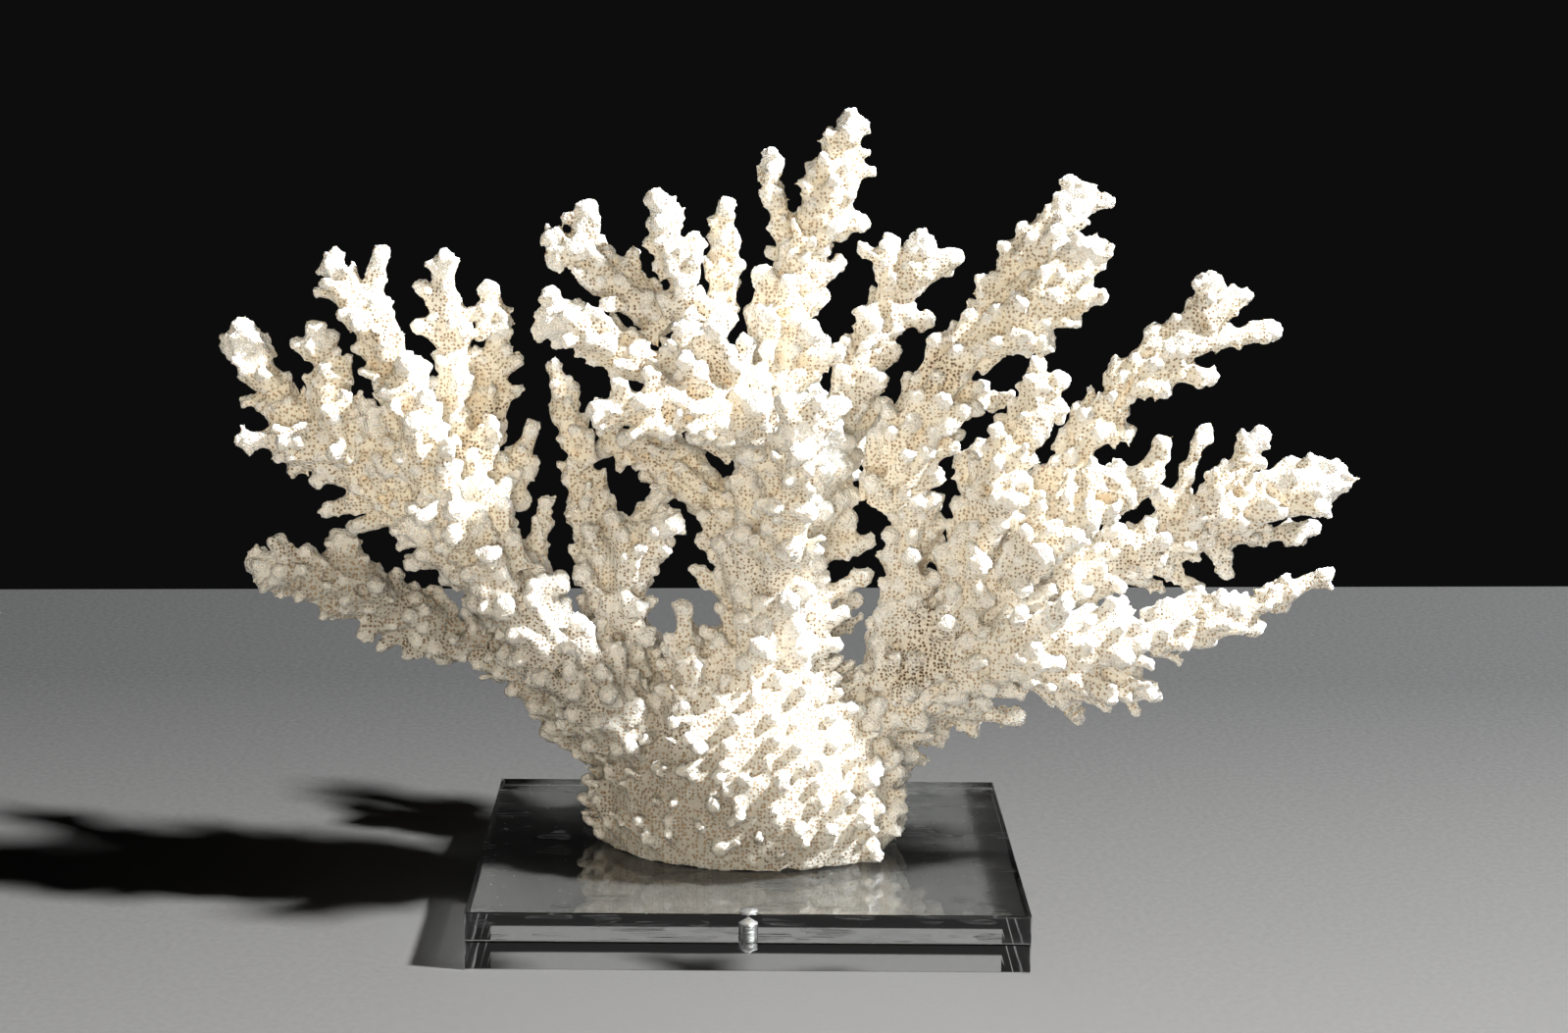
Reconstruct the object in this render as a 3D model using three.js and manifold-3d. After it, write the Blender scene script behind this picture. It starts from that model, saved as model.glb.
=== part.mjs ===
// A branching stony coral, bleached and dried, standing on a low clear acrylic plinth.
// Millimetres, +Z up, +X to the right of the front face, +Y away from it.
// The origin is the middle of the plinth's underside.

import * as THREE from 'three';
import { mergeVertices } from 'three/addons/utils/BufferGeometryUtils.js';
import Module from 'manifold-3d';

const wasm = await Module();
wasm.setup();

// Plinth: two equal clear sheets, one on the other, located by a steel pin in blind holes.
const SHEET_WIDTH = 188;
const SHEET_DEPTH = 150;
const SHEET_THICKNESS = 10;
const PIN_SET_BACK = 8;
const PIN_RADIUS = 2.9;
const PIN_BELOW = 3.6;
const PIN_ABOVE = 4.9;
const PIN_CHAMFER = 0.5;
const HOLE_CLEARANCE = 0.3;
const DRILL_POINT = 1.9;
const ROUND_SIDES = 12;
const PLINTH_TOP = 2 * SHEET_THICKNESS;

// Coral: limbs are parted by a narrow gap at each fork, and their stems carry low knobs.
// The knobs' heights are shares of the stem's radius, except on the foot, where they are lengths.
const FORK_GAP = 0.4;
const ROW_SPACING = 14;
const STEM_SHARE = 0.9;
const TIP_SHARE = 0.6;
const KNOB_SWELL = 0.14;
const ROUGHNESS = 0.06;
const PRONG_BLUNTNESS = 0.75;
const PRONG_LEAN = 0.35;
const FOOT_KNOB = 1.5;
const FOOT_CROWN = 4;
const KNOB_PROUD = 5;

// The limbs are laid out as they are seen from a point in front of the colony.
// x and z are read on the upright plane through the origin, and each point then
// moves along its line of sight to stand "back" millimetres behind that plane.
const VIEWPOINT = new THREE.Vector3(-5, -967, 341);

const ACRYLIC = new THREE.MeshStandardMaterial({
  color: 0xdfe6e6, roughness: 0.05, metalness: 0, transparent: true, opacity: 0.35,
});
const STEEL = new THREE.MeshStandardMaterial({ color: 0xb9bcbf, roughness: 0.3, metalness: 1 });
const CORAL = new THREE.MeshStandardMaterial({ color: 0xece2cf, roughness: 0.9, metalness: 0 });

const colony = new THREE.Group();
const mounted = new THREE.Group();
mounted.add(colony);

// Solids that can be joined and cut, made from a closed geometry or from lists of corners.
function solidFrom(vertProperties, triVerts) {
  return new wasm.Manifold(new wasm.Mesh({ numProp: 3, vertProperties, triVerts }));
}

function weld(geometry) {
  geometry.deleteAttribute('normal');
  geometry.deleteAttribute('uv');
  return mergeVertices(geometry, 1e-4);
}

function solidOf(geometry) {
  const { attributes, index } = weld(geometry);
  return solidFrom(new Float32Array(attributes.position.array), new Uint32Array(index.array));
}

function geometryOf(solid) {
  const { vertProperties, triVerts } = solid.getMesh();
  const geometry = new THREE.BufferGeometry();
  geometry.setAttribute('position', new THREE.BufferAttribute(vertProperties, 3));
  geometry.setIndex(new THREE.BufferAttribute(triVerts, 1));
  geometry.computeVertexNormals();
  return geometry;
}

function addPiece(group, name, solid, material) {
  const mesh = new THREE.Mesh(geometryOf(solid), material);
  mesh.name = name;
  group.add(mesh);
}

// Plinth.

function sheetSolid(bottom) {
  const slab = new THREE.BoxGeometry(SHEET_WIDTH, SHEET_DEPTH, SHEET_THICKNESS);
  slab.translate(0, 0, bottom + SHEET_THICKNESS / 2);
  return solidOf(slab);
}

// A turned shape about the pin's axis, from pairs of radius and height.
function turned(profile) {
  const lathe = new THREE.LatheGeometry(profile.map(([r, z]) => new THREE.Vector2(r, z)), ROUND_SIDES);
  lathe.rotateX(Math.PI / 2);
  lathe.translate(0, PIN_SET_BACK - SHEET_DEPTH / 2, SHEET_THICKNESS);
  return solidOf(lathe);
}

// A blind hole with the drill's conical end, its mouth at the joint between the sheets.
const holeRadius = PIN_RADIUS + HOLE_CLEARANCE;
const holeBelow = PIN_BELOW + HOLE_CLEARANCE;
const holeAbove = PIN_ABOVE + HOLE_CLEARANCE;
const pastMouth = 1;
const lowerHole = turned([
  [0, -holeBelow - DRILL_POINT], [holeRadius, -holeBelow], [holeRadius, pastMouth], [0, pastMouth],
]);
const upperHole = turned([
  [0, -pastMouth], [holeRadius, -pastMouth], [holeRadius, holeAbove], [0, holeAbove + DRILL_POINT],
]);
const pin = turned([
  [0, -PIN_BELOW], [PIN_RADIUS - PIN_CHAMFER, -PIN_BELOW], [PIN_RADIUS, PIN_CHAMFER - PIN_BELOW],
  [PIN_RADIUS, PIN_ABOVE - PIN_CHAMFER], [PIN_RADIUS - PIN_CHAMFER, PIN_ABOVE], [0, PIN_ABOVE],
]);

addPiece(mounted, 'lower_sheet', sheetSolid(0).subtract(lowerHole), ACRYLIC);
addPiece(mounted, 'upper_sheet', sheetSolid(SHEET_THICKNESS).subtract(upperHole), ACRYLIC);
addPiece(mounted, 'locating_pin', pin, STEEL);

// Coral.

function asSeen([x, z, back]) {
  const onPlane = new THREE.Vector3(x, 0, z);
  const along = (back - VIEWPOINT.y) / -VIEWPOINT.y;
  return new THREE.Vector3().lerpVectors(VIEWPOINT, onPlane, along);
}

// An even spread of numbers from -1 to 1 that is the same each time.
function uneven(seed) {
  const turns = Math.sin(seed * 12.9898) * 43758.5453;
  return 2 * (turns - Math.floor(turns)) - 1;
}

// Across and depth directions at right angles to a limb's own direction.
function crossAxes(along, overall) {
  const mostlyDeep = Math.abs(overall.y) > 0.8;
  const reference = mostlyDeep ? new THREE.Vector3(0, 0, 1) : new THREE.Vector3(0, 1, 0);
  const across = new THREE.Vector3().crossVectors(along, reference).normalize();
  const depth = new THREE.Vector3().crossVectors(across, along);
  return { across, depth };
}

// A skin is a welded cylinder's corners and faces, bent into place. Its wall comes first in
// the face list, as cells of two triangles each, and its two end caps follow.
function skinOf(sides, rows, placeCorner) {
  const shape = weld(new THREE.CylinderGeometry(1, 1, 1, sides, rows));
  const corners = [];
  for (let i = 0; i < shape.attributes.position.count; i += 1) {
    const unit = new THREE.Vector3().fromBufferAttribute(shape.attributes.position, i);
    const row = Math.round((unit.y + 0.5) * rows);
    const side = Math.round((Math.atan2(unit.x, unit.z) / (2 * Math.PI)) * sides + sides) % sides;
    corners.push(placeCorner(unit, row, side));
  }
  return { corners, faces: Array.from(shape.index.array), cells: sides * rows, drawn: new Set() };
}

// A stem is a cylinder bent along its curve, with low knobs and a blunt rounded tip.
// Each point of its path is [x, z, back, radius] and, where it is oval, the depth radius.
// Thick stems have more sides than thin ones.
function sidesFor(widest) {
  if (widest > 16) return 9;
  if (widest > 8) return 6;
  return widest > 4.6 ? 5 : 4;
}

function stemSkin(path) {
  const curve = new THREE.CatmullRomCurve3(path.map(asSeen), false, 'centripetal');
  const length = curve.getLength();
  const widest = Math.max(...path.map((point) => point[3]));
  const tipRadius = path[path.length - 1][3];
  const bodyRows = Math.max(2, Math.round(length / ROW_SPACING));
  const overall = curve.getPoint(1).sub(curve.getPoint(0)).normalize();
  return skinOf(sidesFor(widest), bodyRows + 1, (unit, row, side) => {
    const isEnd = row > bodyRows;
    let reach = (row / bodyRows) * (length - 0.9 * tipRadius);
    if (isEnd) reach = length - (Math.hypot(unit.x, unit.z) > 0.5 ? 0.35 * tipRadius : 0);
    const share = curve.getUtoTmapping(reach / length);
    const place = share * (path.length - 1);
    const before = Math.min(Math.floor(place), path.length - 2);
    const radiusAt = (column) => {
      const first = path[before][column] ?? path[before][3];
      const second = path[before + 1][column] ?? path[before + 1][3];
      return THREE.MathUtils.lerp(first, second, place - before);
    };
    const { across, depth } = crossAxes(curve.getTangent(share), overall);
    let swell = isEnd ? TIP_SHARE : STEM_SHARE;
    if (row > 0 && row <= bodyRows) swell += (row + side) % 2 === 0 ? KNOB_SWELL : -KNOB_SWELL / 2;
    swell += ROUGHNESS * uneven(7 * row + 3 * side + path[0][0]);
    const corner = curve.getPoint(share);
    corner.addScaledVector(across, unit.x * radiusAt(3) * swell);
    return corner.addScaledVector(depth, unit.z * radiusAt(4) * swell);
  });
}

// The foot: a squat oval stump, sawn flat underneath, turned a little towards the front right.
// Each row is [height, half width, half depth].
const FOOT_TURN = THREE.MathUtils.degToRad(-9);
const FOOT_MIDDLE = new THREE.Vector2(-1, 5);
const FOOT_ROWS = [
  [PLINTH_TOP, 52, 37], [29, 54, 38], [39, 55, 38], [50, 52, 37], [61, 49, 35],
  [71, 46, 32], [81, 35, 24],
];
const FOOT_SIDES = 22;

function footSkin() {
  const lastRow = FOOT_ROWS.length - 1;
  return skinOf(FOOT_SIDES, lastRow, (unit, row, side) => {
    const [height, halfWidth, halfDepth] = FOOT_ROWS[row];
    let rise = 0;
    if (row > 0 && row < lastRow) rise = (row + side) % 2 === 0 ? FOOT_KNOB : -FOOT_KNOB / 2;
    const onOval = new THREE.Vector2(unit.x * (halfWidth + rise), -unit.z * (halfDepth + rise));
    onOval.rotateAround(new THREE.Vector2(), FOOT_TURN).add(FOOT_MIDDLE);
    const crown = row === lastRow && Math.hypot(unit.x, unit.z) < 0.5 ? FOOT_CROWN : 0;
    return new THREE.Vector3(onOval.x, onOval.y, height + crown);
  });
}

// The foot's knobs stand proud of its front: [x, z, radius] gives where each tip is seen.
function knobOnFront([x, z, radius]) {
  const [, halfWidth, halfDepth] = FOOT_ROWS[1];
  const share = THREE.MathUtils.clamp((x - FOOT_MIDDLE.x) / (halfWidth + KNOB_PROUD), -1, 1);
  const back = FOOT_MIDDLE.y + x * Math.tan(FOOT_TURN)
    - (halfDepth + KNOB_PROUD) * Math.sqrt(1 - share * share);
  return [x, z, back, radius];
}

// A prong or knob is one cell of a skin drawn out to a blunt tip. The cell is the free one
// that lies nearest the tip, and a little down the limb from it, so that the prong leans.
function cellLoop(skin, cell) {
  const [a, b, d, , c] = skin.faces.slice(6 * cell, 6 * cell + 6);
  return [a, b, c, d];
}

function middleOf(spots) {
  return spots.reduce((sum, spot) => sum.add(spot), new THREE.Vector3()).divideScalar(spots.length);
}

function drawOutProng(skins, [x, z, back, radius]) {
  const tip = asSeen([x, z, back]);
  let best = null;
  let nearest = Infinity;
  for (const skin of skins) {
    for (let cell = 0; cell < skin.cells; cell += 1) {
      const spots = cellLoop(skin, cell).map((corner) => skin.corners[corner]);
      const middle = middleOf(spots);
      const along = spots[0].clone().sub(spots[1]).setLength(PRONG_LEAN * middle.distanceTo(tip));
      const distance = along.add(middle).distanceTo(tip);
      if (distance < nearest && !skin.drawn.has(cell)) {
        nearest = distance;
        best = { skin, cell, middle };
      }
    }
  }
  const { skin, cell, middle } = best;
  const loop = cellLoop(skin, cell);
  const outward = tip.clone().sub(middle).normalize();
  const top = skin.corners.length;
  for (const corner of loop) {
    const aside = skin.corners[corner].clone().sub(middle).projectOnPlane(outward);
    skin.corners.push(tip.clone().add(aside.setLength(PRONG_BLUNTNESS * radius)));
  }
  skin.drawn.add(cell);
  for (let k = 0; k < 4; k += 1) {
    const next = (k + 1) % 4;
    skin.faces.push(loop[k], loop[next], top + next, loop[k], top + next, top + k);
  }
  skin.faces.push(top, top + 1, top + 2, top, top + 2, top + 3);
}

// The skin as a solid, without the cells that the prongs have taken the place of.
function solidOfSkin({ corners, faces, drawn }) {
  const kept = faces.filter((corner, i) => !drawn.has(Math.floor(i / 6)));
  const geometry = new THREE.BufferGeometry().setFromPoints(corners);
  geometry.setIndex(kept);
  return solidOf(geometry);
}

// A slightly swollen copy of a body, which cuts the gap that parts its neighbour from it.
function swollen(body) {
  const { attributes, index } = geometryOf(body);
  const corners = Float32Array.from(attributes.position.array, (value, i) => (
    value + FORK_GAP * attributes.normal.array[i]));
  return solidFrom(corners, new Uint32Array(index.array));
}

// Every limb of the colony: the pieces that it springs from or lies against, the paths of its
// stems, and the tips of its larger prongs as [x, z, back, radius].
const LIMBS = {
  coral_foot: {
    against: [],
    stems: [
      [[-20, 66, -14, 9], [-22, 84, -14, 7.5], [-23, 98, -13, 4.5], [-23, 109, -12, 3]],
    ],
    prongs: [],
    knobs: [
      [-59, 31, 4], [-55, 24, 3.5], [-33, 47, 3.5], [-18, 54, 3.5], [-11, 44, 3], [-13, 34, 3.5],
      [-17, 25, 3], [-8, 17, 3], [-3, 29, 3.5], [12, 41, 4], [30, 24, 3.5], [42, 28, 4.5], [36, 36, 4],
      [55, 33, 4.5], [54, 24, 4], [47, 15, 4], [44, 43, 4], [-46, 66, 4], [-28, 64, 4], [54, 52, 4],
    ],
  },
  left_limb: {
    against: ['coral_foot'],
    stems: [
      [[-34, 54, -4, 17], [-52, 72, -9, 16], [-67, 88, -12, 16], [-80, 104, -15, 16],
        [-92, 122, -17, 15], [-104, 142, -18, 13], [-112, 154, -18, 10]],
      [[-84, 110, -14, 13], [-104, 128, -14, 12], [-124, 142, -14, 10]],
      [[-77, 112, -6, 5], [-74, 130, 0, 4], [-70, 146, 4, 3.5]],
    ],
    prongs: [
      [-64, 92, -32, 4], [-52, 84, -30, 4], [-50, 75, -30, 4], [-88, 104, -32, 4], [-97, 112, -30, 4],
      [-107, 118, -24, 3.5], [-114, 124, -22, 4], [-126, 131, -16, 3.5], [-66, 118, -22, 4.5],
      [-92, 126, -38, 5], [-106, 132, -36, 4.5],
    ],
  },
  lower_left_limb: {
    against: ['coral_foot', 'left_limb'],
    stems: [
      [[-40, 46, 10, 11], [-58, 66, 12, 12], [-78, 84, 10, 11], [-100, 95, 7, 10], [-122, 104, 3, 9.5],
        [-142, 111, -1, 9], [-158, 117, -4, 8.5], [-177, 121, -6, 8]],
    ],
    prongs: [
      [-143, 133, 4, 8], [-165, 131, -6, 4], [-151, 100, -8, 3], [-138, 93, -6, 4],
      [-131, 89, 0, 3], [-123, 86, -2, 3.5], [-124, 120, 6, 2.8], [-112, 114, 8, 2.6],
      [-80, 72, 10, 4.5], [-74, 60, 10, 4.5], [-132, 114, -12, 4], [-120, 102, -10, 3.5],
    ],
  },
  left_outer_branch: {
    against: ['left_limb'],
    stems: [
      [[-116, 138, -14, 8], [-133, 153, -14, 10], [-148, 167, -14, 9.5], [-161, 178, -13, 8.5],
        [-168, 190, -13, 7.5], [-178, 204, -12, 8]],
      [[-136, 157, -16, 8], [-158, 163, -18, 8], [-179, 165, -20, 6]],
      [[-138, 160, -20, 9], [-145, 184, -20, 7.5], [-149, 196, -18, 6.5], [-150, 206, -18, 5.5]],
    ],
    prongs: [
      [-183, 196, -12, 4], [-171, 206, -10, 4], [-176, 178, -12, 3.5], [-161, 153, -16, 3.5],
      [-152, 148, -18, 4], [-150, 138, -14, 3.5], [-140, 133, -12, 3.5], [-146, 160, -32, 4.5],
    ],
  },
  left_tall_branch: {
    against: ['left_limb', 'left_outer_branch'],
    stems: [
      [[-108, 146, -20, 10], [-116, 168, -22, 10], [-123, 188, -20, 9], [-131, 204, -18, 9],
        [-140, 218, -17, 7], [-147, 230, -16, 6]],
      [[-130, 204, -16, 5], [-129, 218, -14, 3.5], [-127, 230, -14, 2.4]],
    ],
    prongs: [
      [-120, 194, -34, 4.5], [-128, 182, -32, 4], [-112, 182, -32, 4], [-145, 214, -16, 3],
      [-104, 164, -34, 4.5],
    ],
  },
  left_inner_branch: {
    against: ['left_limb', 'left_tall_branch'],
    stems: [
      [[-86, 118, -12, 9], [-94, 144, -9, 10], [-100, 170, -6, 9], [-103, 194, -6, 7.5],
        [-105, 214, -6, 5.5], [-106, 231, -6, 5]],
      [[-94, 158, -2, 8], [-90, 184, -2, 6.5], [-87, 209, -2, 5]],
      [[-92, 146, 2, 8], [-80, 160, 4, 6], [-75, 173, 4, 4]],
    ],
    prongs: [
      [-116, 219, -6, 3], [-91, 222, -6, 3], [-117, 206, -8, 3], [-97, 205, -12, 3.5], [-79, 193, -2, 3.5],
      [-79, 183, -6, 3.5], [-77, 143, 4, 4.5], [-88, 172, -18, 4.5], [-95, 152, -24, 5],
    ],
  },
  left_rear_branch: {
    against: ['left_limb', 'left_inner_branch', 'left_tall_branch'],
    stems: [
      [[-88, 112, -4, 11], [-96, 134, 20, 10], [-104, 156, 38, 8], [-106, 180, 50, 5]],
    ],
    prongs: [
      [-122, 168, 44, 4], [-96, 168, 54, 4], [-110, 150, 56, 4], [-90, 146, 42, 4], [-112, 182, 56, 3],
      [-88, 132, 34, 4],
    ],
  },
  inner_left_limb: {
    against: ['coral_foot', 'left_limb'],
    stems: [
      [[-32, 64, 2, 12], [-44, 88, 5, 12], [-51, 108, 7, 11], [-53, 128, 9, 9.5], [-56, 148, 12, 7.5],
        [-62, 166, 14, 6.5], [-66, 182, 16, 4.5], [-69, 194, 17, 3]],
      [[-46, 104, 0, 10], [-41, 122, -6, 8], [-34, 133, -9, 7], [-23, 138, -13, 6]],
      [[-46, 112, 6, 8], [-38, 134, 8, 6.5], [-30, 150, 8, 5]],
    ],
    prongs: [
      [-61, 185, 14, 3], [-65, 141, 6, 4], [-50, 140, -8, 4.5], [-29, 126, -4, 3.5],
      [-35, 93, -14, 4.5], [-60, 120, -10, 4], [-38, 106, -18, 4.5],
    ],
  },
  centre_column: {
    against: ['coral_foot'],
    stems: [
      [[6, 60, 0, 24, 20], [6, 84, 0, 22, 20], [8, 106, 0, 21, 19], [8, 126, 0, 20, 18],
        [12, 146, 0, 22, 19], [15, 166, 0, 23, 19], [14, 186, 0, 20, 17]],
    ],
    prongs: [
      [-16, 86, -12, 4], [-18, 99, -10, 4], [-22, 121, 2, 3.5], [-19, 141, 0, 4], [33, 82, -10, 4.5],
      [32, 94, -12, 4], [35, 106, -8, 4], [39, 111, 10, 3.5], [40, 104, 18, 2.6], [43, 120, -2, 4],
      [44, 131, 0, 4], [2, 94, -28, 4.5], [14, 110, -28, 5], [24, 128, -26, 4.5], [-4, 134, -26, 4.5],
      [22, 144, -30, 4.5], [4, 152, -28, 4.5],
    ],
  },
  rear_left_limb: {
    against: ['centre_column', 'inner_left_limb'],
    stems: [
      [[-2, 132, 6, 11], [-18, 146, 12, 11], [-32, 158, 18, 11], [-45, 165, 22, 8], [-56, 160, 26, 4]],
    ],
    prongs: [[-54, 169, 24, 4], [-30, 172, 34, 4], [-20, 166, 34, 5]],
  },
  centre_head: {
    against: ['centre_column', 'rear_left_limb'],
    stems: [
      [[2, 164, -6, 15], [-8, 180, -12, 18], [-18, 194, -14, 18], [-22, 208, -14, 13]],
      [[-2, 176, -20, 12], [-18, 177, -30, 10], [-36, 175, -36, 9], [-58, 176, -40, 6]],
    ],
    prongs: [
      [-48, 187, -40, 4], [-38, 191, -40, 4], [-26, 206, -36, 4], [-14, 206, -36, 4], [-25, 194, -42, 5],
      [-17, 167, -36, 3.5], [-11, 163, -32, 3.5], [1, 178, -36, 5], [-30, 167, -42, 3.5],
      [-6, 193, -36, 4],
    ],
  },
  head_stub_branch: {
    against: ['centre_head'],
    stems: [[[-24, 189, -12, 9], [-44, 196, -12, 8.5], [-60, 204, -12, 9.5], [-75, 209, -12, 8]]],
    prongs: [[-70, 218, -12, 4], [-76, 202, -12, 4], [-57, 191, -14, 3.5]],
  },
  head_left_branch: {
    against: ['centre_head', 'head_stub_branch'],
    stems: [
      [[-28, 204, -8, 9], [-43, 215, -4, 8.5], [-53, 226, -4, 7.5], [-57, 238, -4, 5], [-57, 249, -4, 4.5]],
      [[-46, 219, -4, 6], [-59, 231, -4, 6], [-73, 235, -4, 4]],
    ],
    prongs: [[-70, 226, -8, 4.5], [-66, 243, -4, 3], [-48, 232, -4, 3], [-40, 232, -4, 4],
      [-52, 212, -16, 4]],
  },
  head_top_branch: {
    against: ['centre_head', 'head_left_branch'],
    stems: [
      [[-22, 206, -12, 9], [-26, 222, -12, 8], [-29, 238, -12, 6.5], [-33, 252, -12, 6]],
      [[-16, 204, -6, 8], [-11, 222, 0, 6.5], [-10, 236, 2, 4.5], [-10, 249, 2, 3.2]],
    ],
    prongs: [[-24, 247, -12, 3.5], [-38, 235, -12, 3], [-17, 235, -12, 3.2], [-16, 243, 2, 3],
      [-4, 236, 0, 3.5]],
  },
  top_limb: {
    against: ['centre_column', 'centre_head', 'head_top_branch'],
    stems: [
      [[8, 184, 2, 14], [10, 204, 3, 12], [15, 222, 4, 10], [20, 238, 4, 9], [26, 254, 4, 8.5],
        [30, 268, 4, 7.5], [33, 281, 4, 6]],
      [[14, 224, 6, 6], [10, 240, 8, 5.5], [5, 254, 8, 5.5], [5, 269, 8, 4.5]],
    ],
    prongs: [
      [39, 275, 4, 3.5], [23, 271, 4, 3.5], [41, 260, 4, 2.6], [18, 261, 2, 3.5],
      [15, 256, -2, 3.5], [39, 242, 2, 4.5], [32, 228, 4, 3.5], [27, 216, 4, 3.2],
      [0, 226, 0, 5], [4, 212, -14, 4.5], [22, 206, -12, 5], [32, 198, -6, 4.5],
    ],
  },
  small_right_branch: {
    against: ['centre_column', 'top_limb'],
    stems: [
      [[30, 168, 4, 11], [35, 186, 5, 10], [40, 204, 6, 7.5], [44, 220, 6, 5.5], [45, 237, 6, 4.5]],
      [[44, 212, 6, 6], [53, 226, 6, 5.2], [57, 241, 6, 5]],
    ],
    prongs: [[70, 233, 4, 4.5], [35, 234, 6, 2.6], [63, 208, 4, 3.2], [36, 212, 4, 4.5],
      [52, 198, 2, 3.5], [46, 188, -10, 4.5]],
  },
  right_limb: {
    against: ['coral_foot', 'centre_column'],
    stems: [
      [[32, 56, 4, 18], [50, 74, 2, 17], [66, 92, 0, 17], [82, 106, -2, 16], [96, 120, -4, 13],
        [106, 132, -5, 10]],
      [[50, 78, 2, 14], [54, 100, 2, 12], [56, 118, 2, 11], [57, 136, 3, 10], [57, 150, 3, 9]],
    ],
    prongs: [
      [46, 93, -8, 4.5], [57, 146, -12, 5], [65, 146, -10, 5], [58, 110, -14, 4.5], [56, 126, -14, 4],
      [70, 102, -22, 5], [66, 118, -14, 4], [78, 86, -22, 5], [76, 74, -14, 4.5], [58, 76, -20, 4.5],
      [62, 64, -12, 4.5], [118, 64, 14, 5.5], [98, 66, 6, 5], [86, 71, -2, 4.5],
    ],
  },
  rear_right_stub: {
    against: ['coral_foot', 'right_limb'],
    stems: [[[34, 48, 12, 12], [52, 60, 17, 11], [66, 66, 20, 8], [80, 66, 20, 4.5]]],
    prongs: [[70, 57, 22, 4], [64, 50, 20, 4], [58, 43, 16, 4]],
  },
  upper_right_limb: {
    against: ['right_limb', 'centre_column', 'small_right_branch'],
    stems: [
      [[47, 141, -4, 10], [51, 158, -8, 14], [61, 176, -10, 13], [71, 194, -12, 12], [82, 211, -12, 9.5],
        [95, 232, -12, 8], [114, 254, -12, 7]],
      [[78, 200, -16, 9], [92, 210, -22, 9], [105, 222, -24, 8], [117, 238, -24, 6]],
    ],
    prongs: [
      [122, 217, -26, 5], [91, 182, -2, 4], [106, 259, -12, 4], [123, 250, -12, 3.5],
      [91, 243, -12, 3.5], [84, 236, -12, 3.5], [77, 224, -14, 3.5], [63, 203, -12, 4.5],
      [124, 234, -24, 3.5], [114, 207, -26, 4], [100, 203, -24, 4], [92, 197, -22, 4],
      [70, 172, -24, 5], [67, 155, -10, 4.5], [40, 152, -18, 5],
    ],
  },
  right_inner_branch: {
    against: ['right_limb', 'upper_right_limb'],
    stems: [
      [[72, 100, -4, 13], [78, 120, -8, 12], [82, 138, -9, 11], [87, 154, -10, 10], [93, 168, -10, 8],
        [97, 182, -10, 5.5], [98, 196, -10, 3]],
      [[80, 144, -2, 5], [75, 157, 2, 4.5], [80, 167, 3, 3.5]],
    ],
    prongs: [
      [109, 189, -12, 4], [109, 179, -12, 4], [83, 172, -12, 4.5], [73, 135, -16, 5], [68, 130, -14, 4],
      [92, 146, -26, 5], [80, 124, -26, 5], [100, 160, -14, 4],
    ],
  },
  long_right_branch: {
    against: ['right_limb', 'right_inner_branch'],
    stems: [
      [[88, 120, -2, 9], [97, 140, -1, 9], [107, 157, -1, 8], [118, 173, -2, 7.5], [130, 188, -3, 7.5],
        [143, 201, -4, 7], [154, 213, -4, 6], [157, 226, -4, 4.5]],
    ],
    prongs: [
      [172, 219, -6, 5], [181, 206, -4, 4.5], [161, 189, -6, 4.5], [138, 208, -4, 4],
      [125, 193, -2, 3.5], [134, 168, -4, 5], [112, 178, -2, 3.5],
    ],
  },
  right_fan_branch: {
    against: ['right_limb', 'long_right_branch', 'right_inner_branch'],
    stems: [
      [[91, 117, -13, 8], [100, 134, -17, 7.5], [113, 149, -18, 6], [131, 158, -18, 4.5]],
      [[94, 121, -15, 8.5], [107, 133, -18, 8], [122, 141, -20, 7], [134, 151, -20, 5.5],
        [144, 168, -20, 3]],
    ],
    prongs: [[104, 126, -34, 5], [116, 132, -30, 4.5], [121, 159, -18, 3.5], [96, 112, -30, 5]],
  },
  right_outer_branch: {
    against: ['right_limb', 'right_fan_branch', 'long_right_branch'],
    stems: [
      [[94, 108, -2, 11], [112, 116, -4, 11], [128, 124, -5, 10], [146, 132, -6, 9], [164, 139, -7, 8.5],
        [184, 148, -8, 8.5], [211, 155, -8, 7]],
      [[150, 134, -10, 6], [163, 148, -12, 6.5], [171, 161, -12, 5.5], [178, 172, -12, 5]],
      [[154, 136, -2, 5], [176, 133, 1, 4.8], [199, 137, 1, 3.2]],
      [[138, 127, -2, 6], [148, 145, -4, 5], [153, 160, -4, 3.8], [158, 174, -4, 3.2]],
    ],
    prongs: [
      [212, 149, -8, 4], [199, 162, -8, 4], [201, 142, -10, 3], [161, 158, -12, 4], [127, 138, -8, 5.5],
      [141, 150, -8, 4], [168, 125, -6, 3], [159, 112, -4, 3.5], [146, 113, 2, 3.5],
    ],
  },
  lower_right_limb: {
    against: ['right_limb', 'right_outer_branch', 'right_fan_branch'],
    stems: [
      [[72, 84, -11, 12], [90, 90, -17, 14], [110, 94, -20, 13], [130, 96, -20, 12], [147, 99, -20, 10],
        [166, 105, -20, 8], [184, 111, -20, 5.5], [205, 121, -20, 3.2]],
      [[94, 88, -20, 10], [120, 82, -22, 10], [146, 76, -22, 5]],
    ],
    prongs: [
      [180, 98, -22, 3.5], [128, 111, -26, 4.5], [112, 110, -34, 5], [96, 106, -34, 5],
      [100, 78, -34, 4.5], [122, 72, -22, 4.5], [134, 88, -36, 5], [166, 114, -22, 3.5],
      [188, 120, -20, 3],
    ],
  },
  front_centre_limb: {
    against: ['coral_foot', 'centre_column', 'centre_head', 'top_limb'],
    stems: [
      [[11, 126, -16, 11], [12, 140, -34, 11], [14, 157, -48, 9.5], [16, 174, -58, 7]],
    ],
    prongs: [[-4, 162, -54, 5], [34, 180, -54, 5], [10, 182, -62, 4.5], [16, 160, -66, 5],
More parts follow.
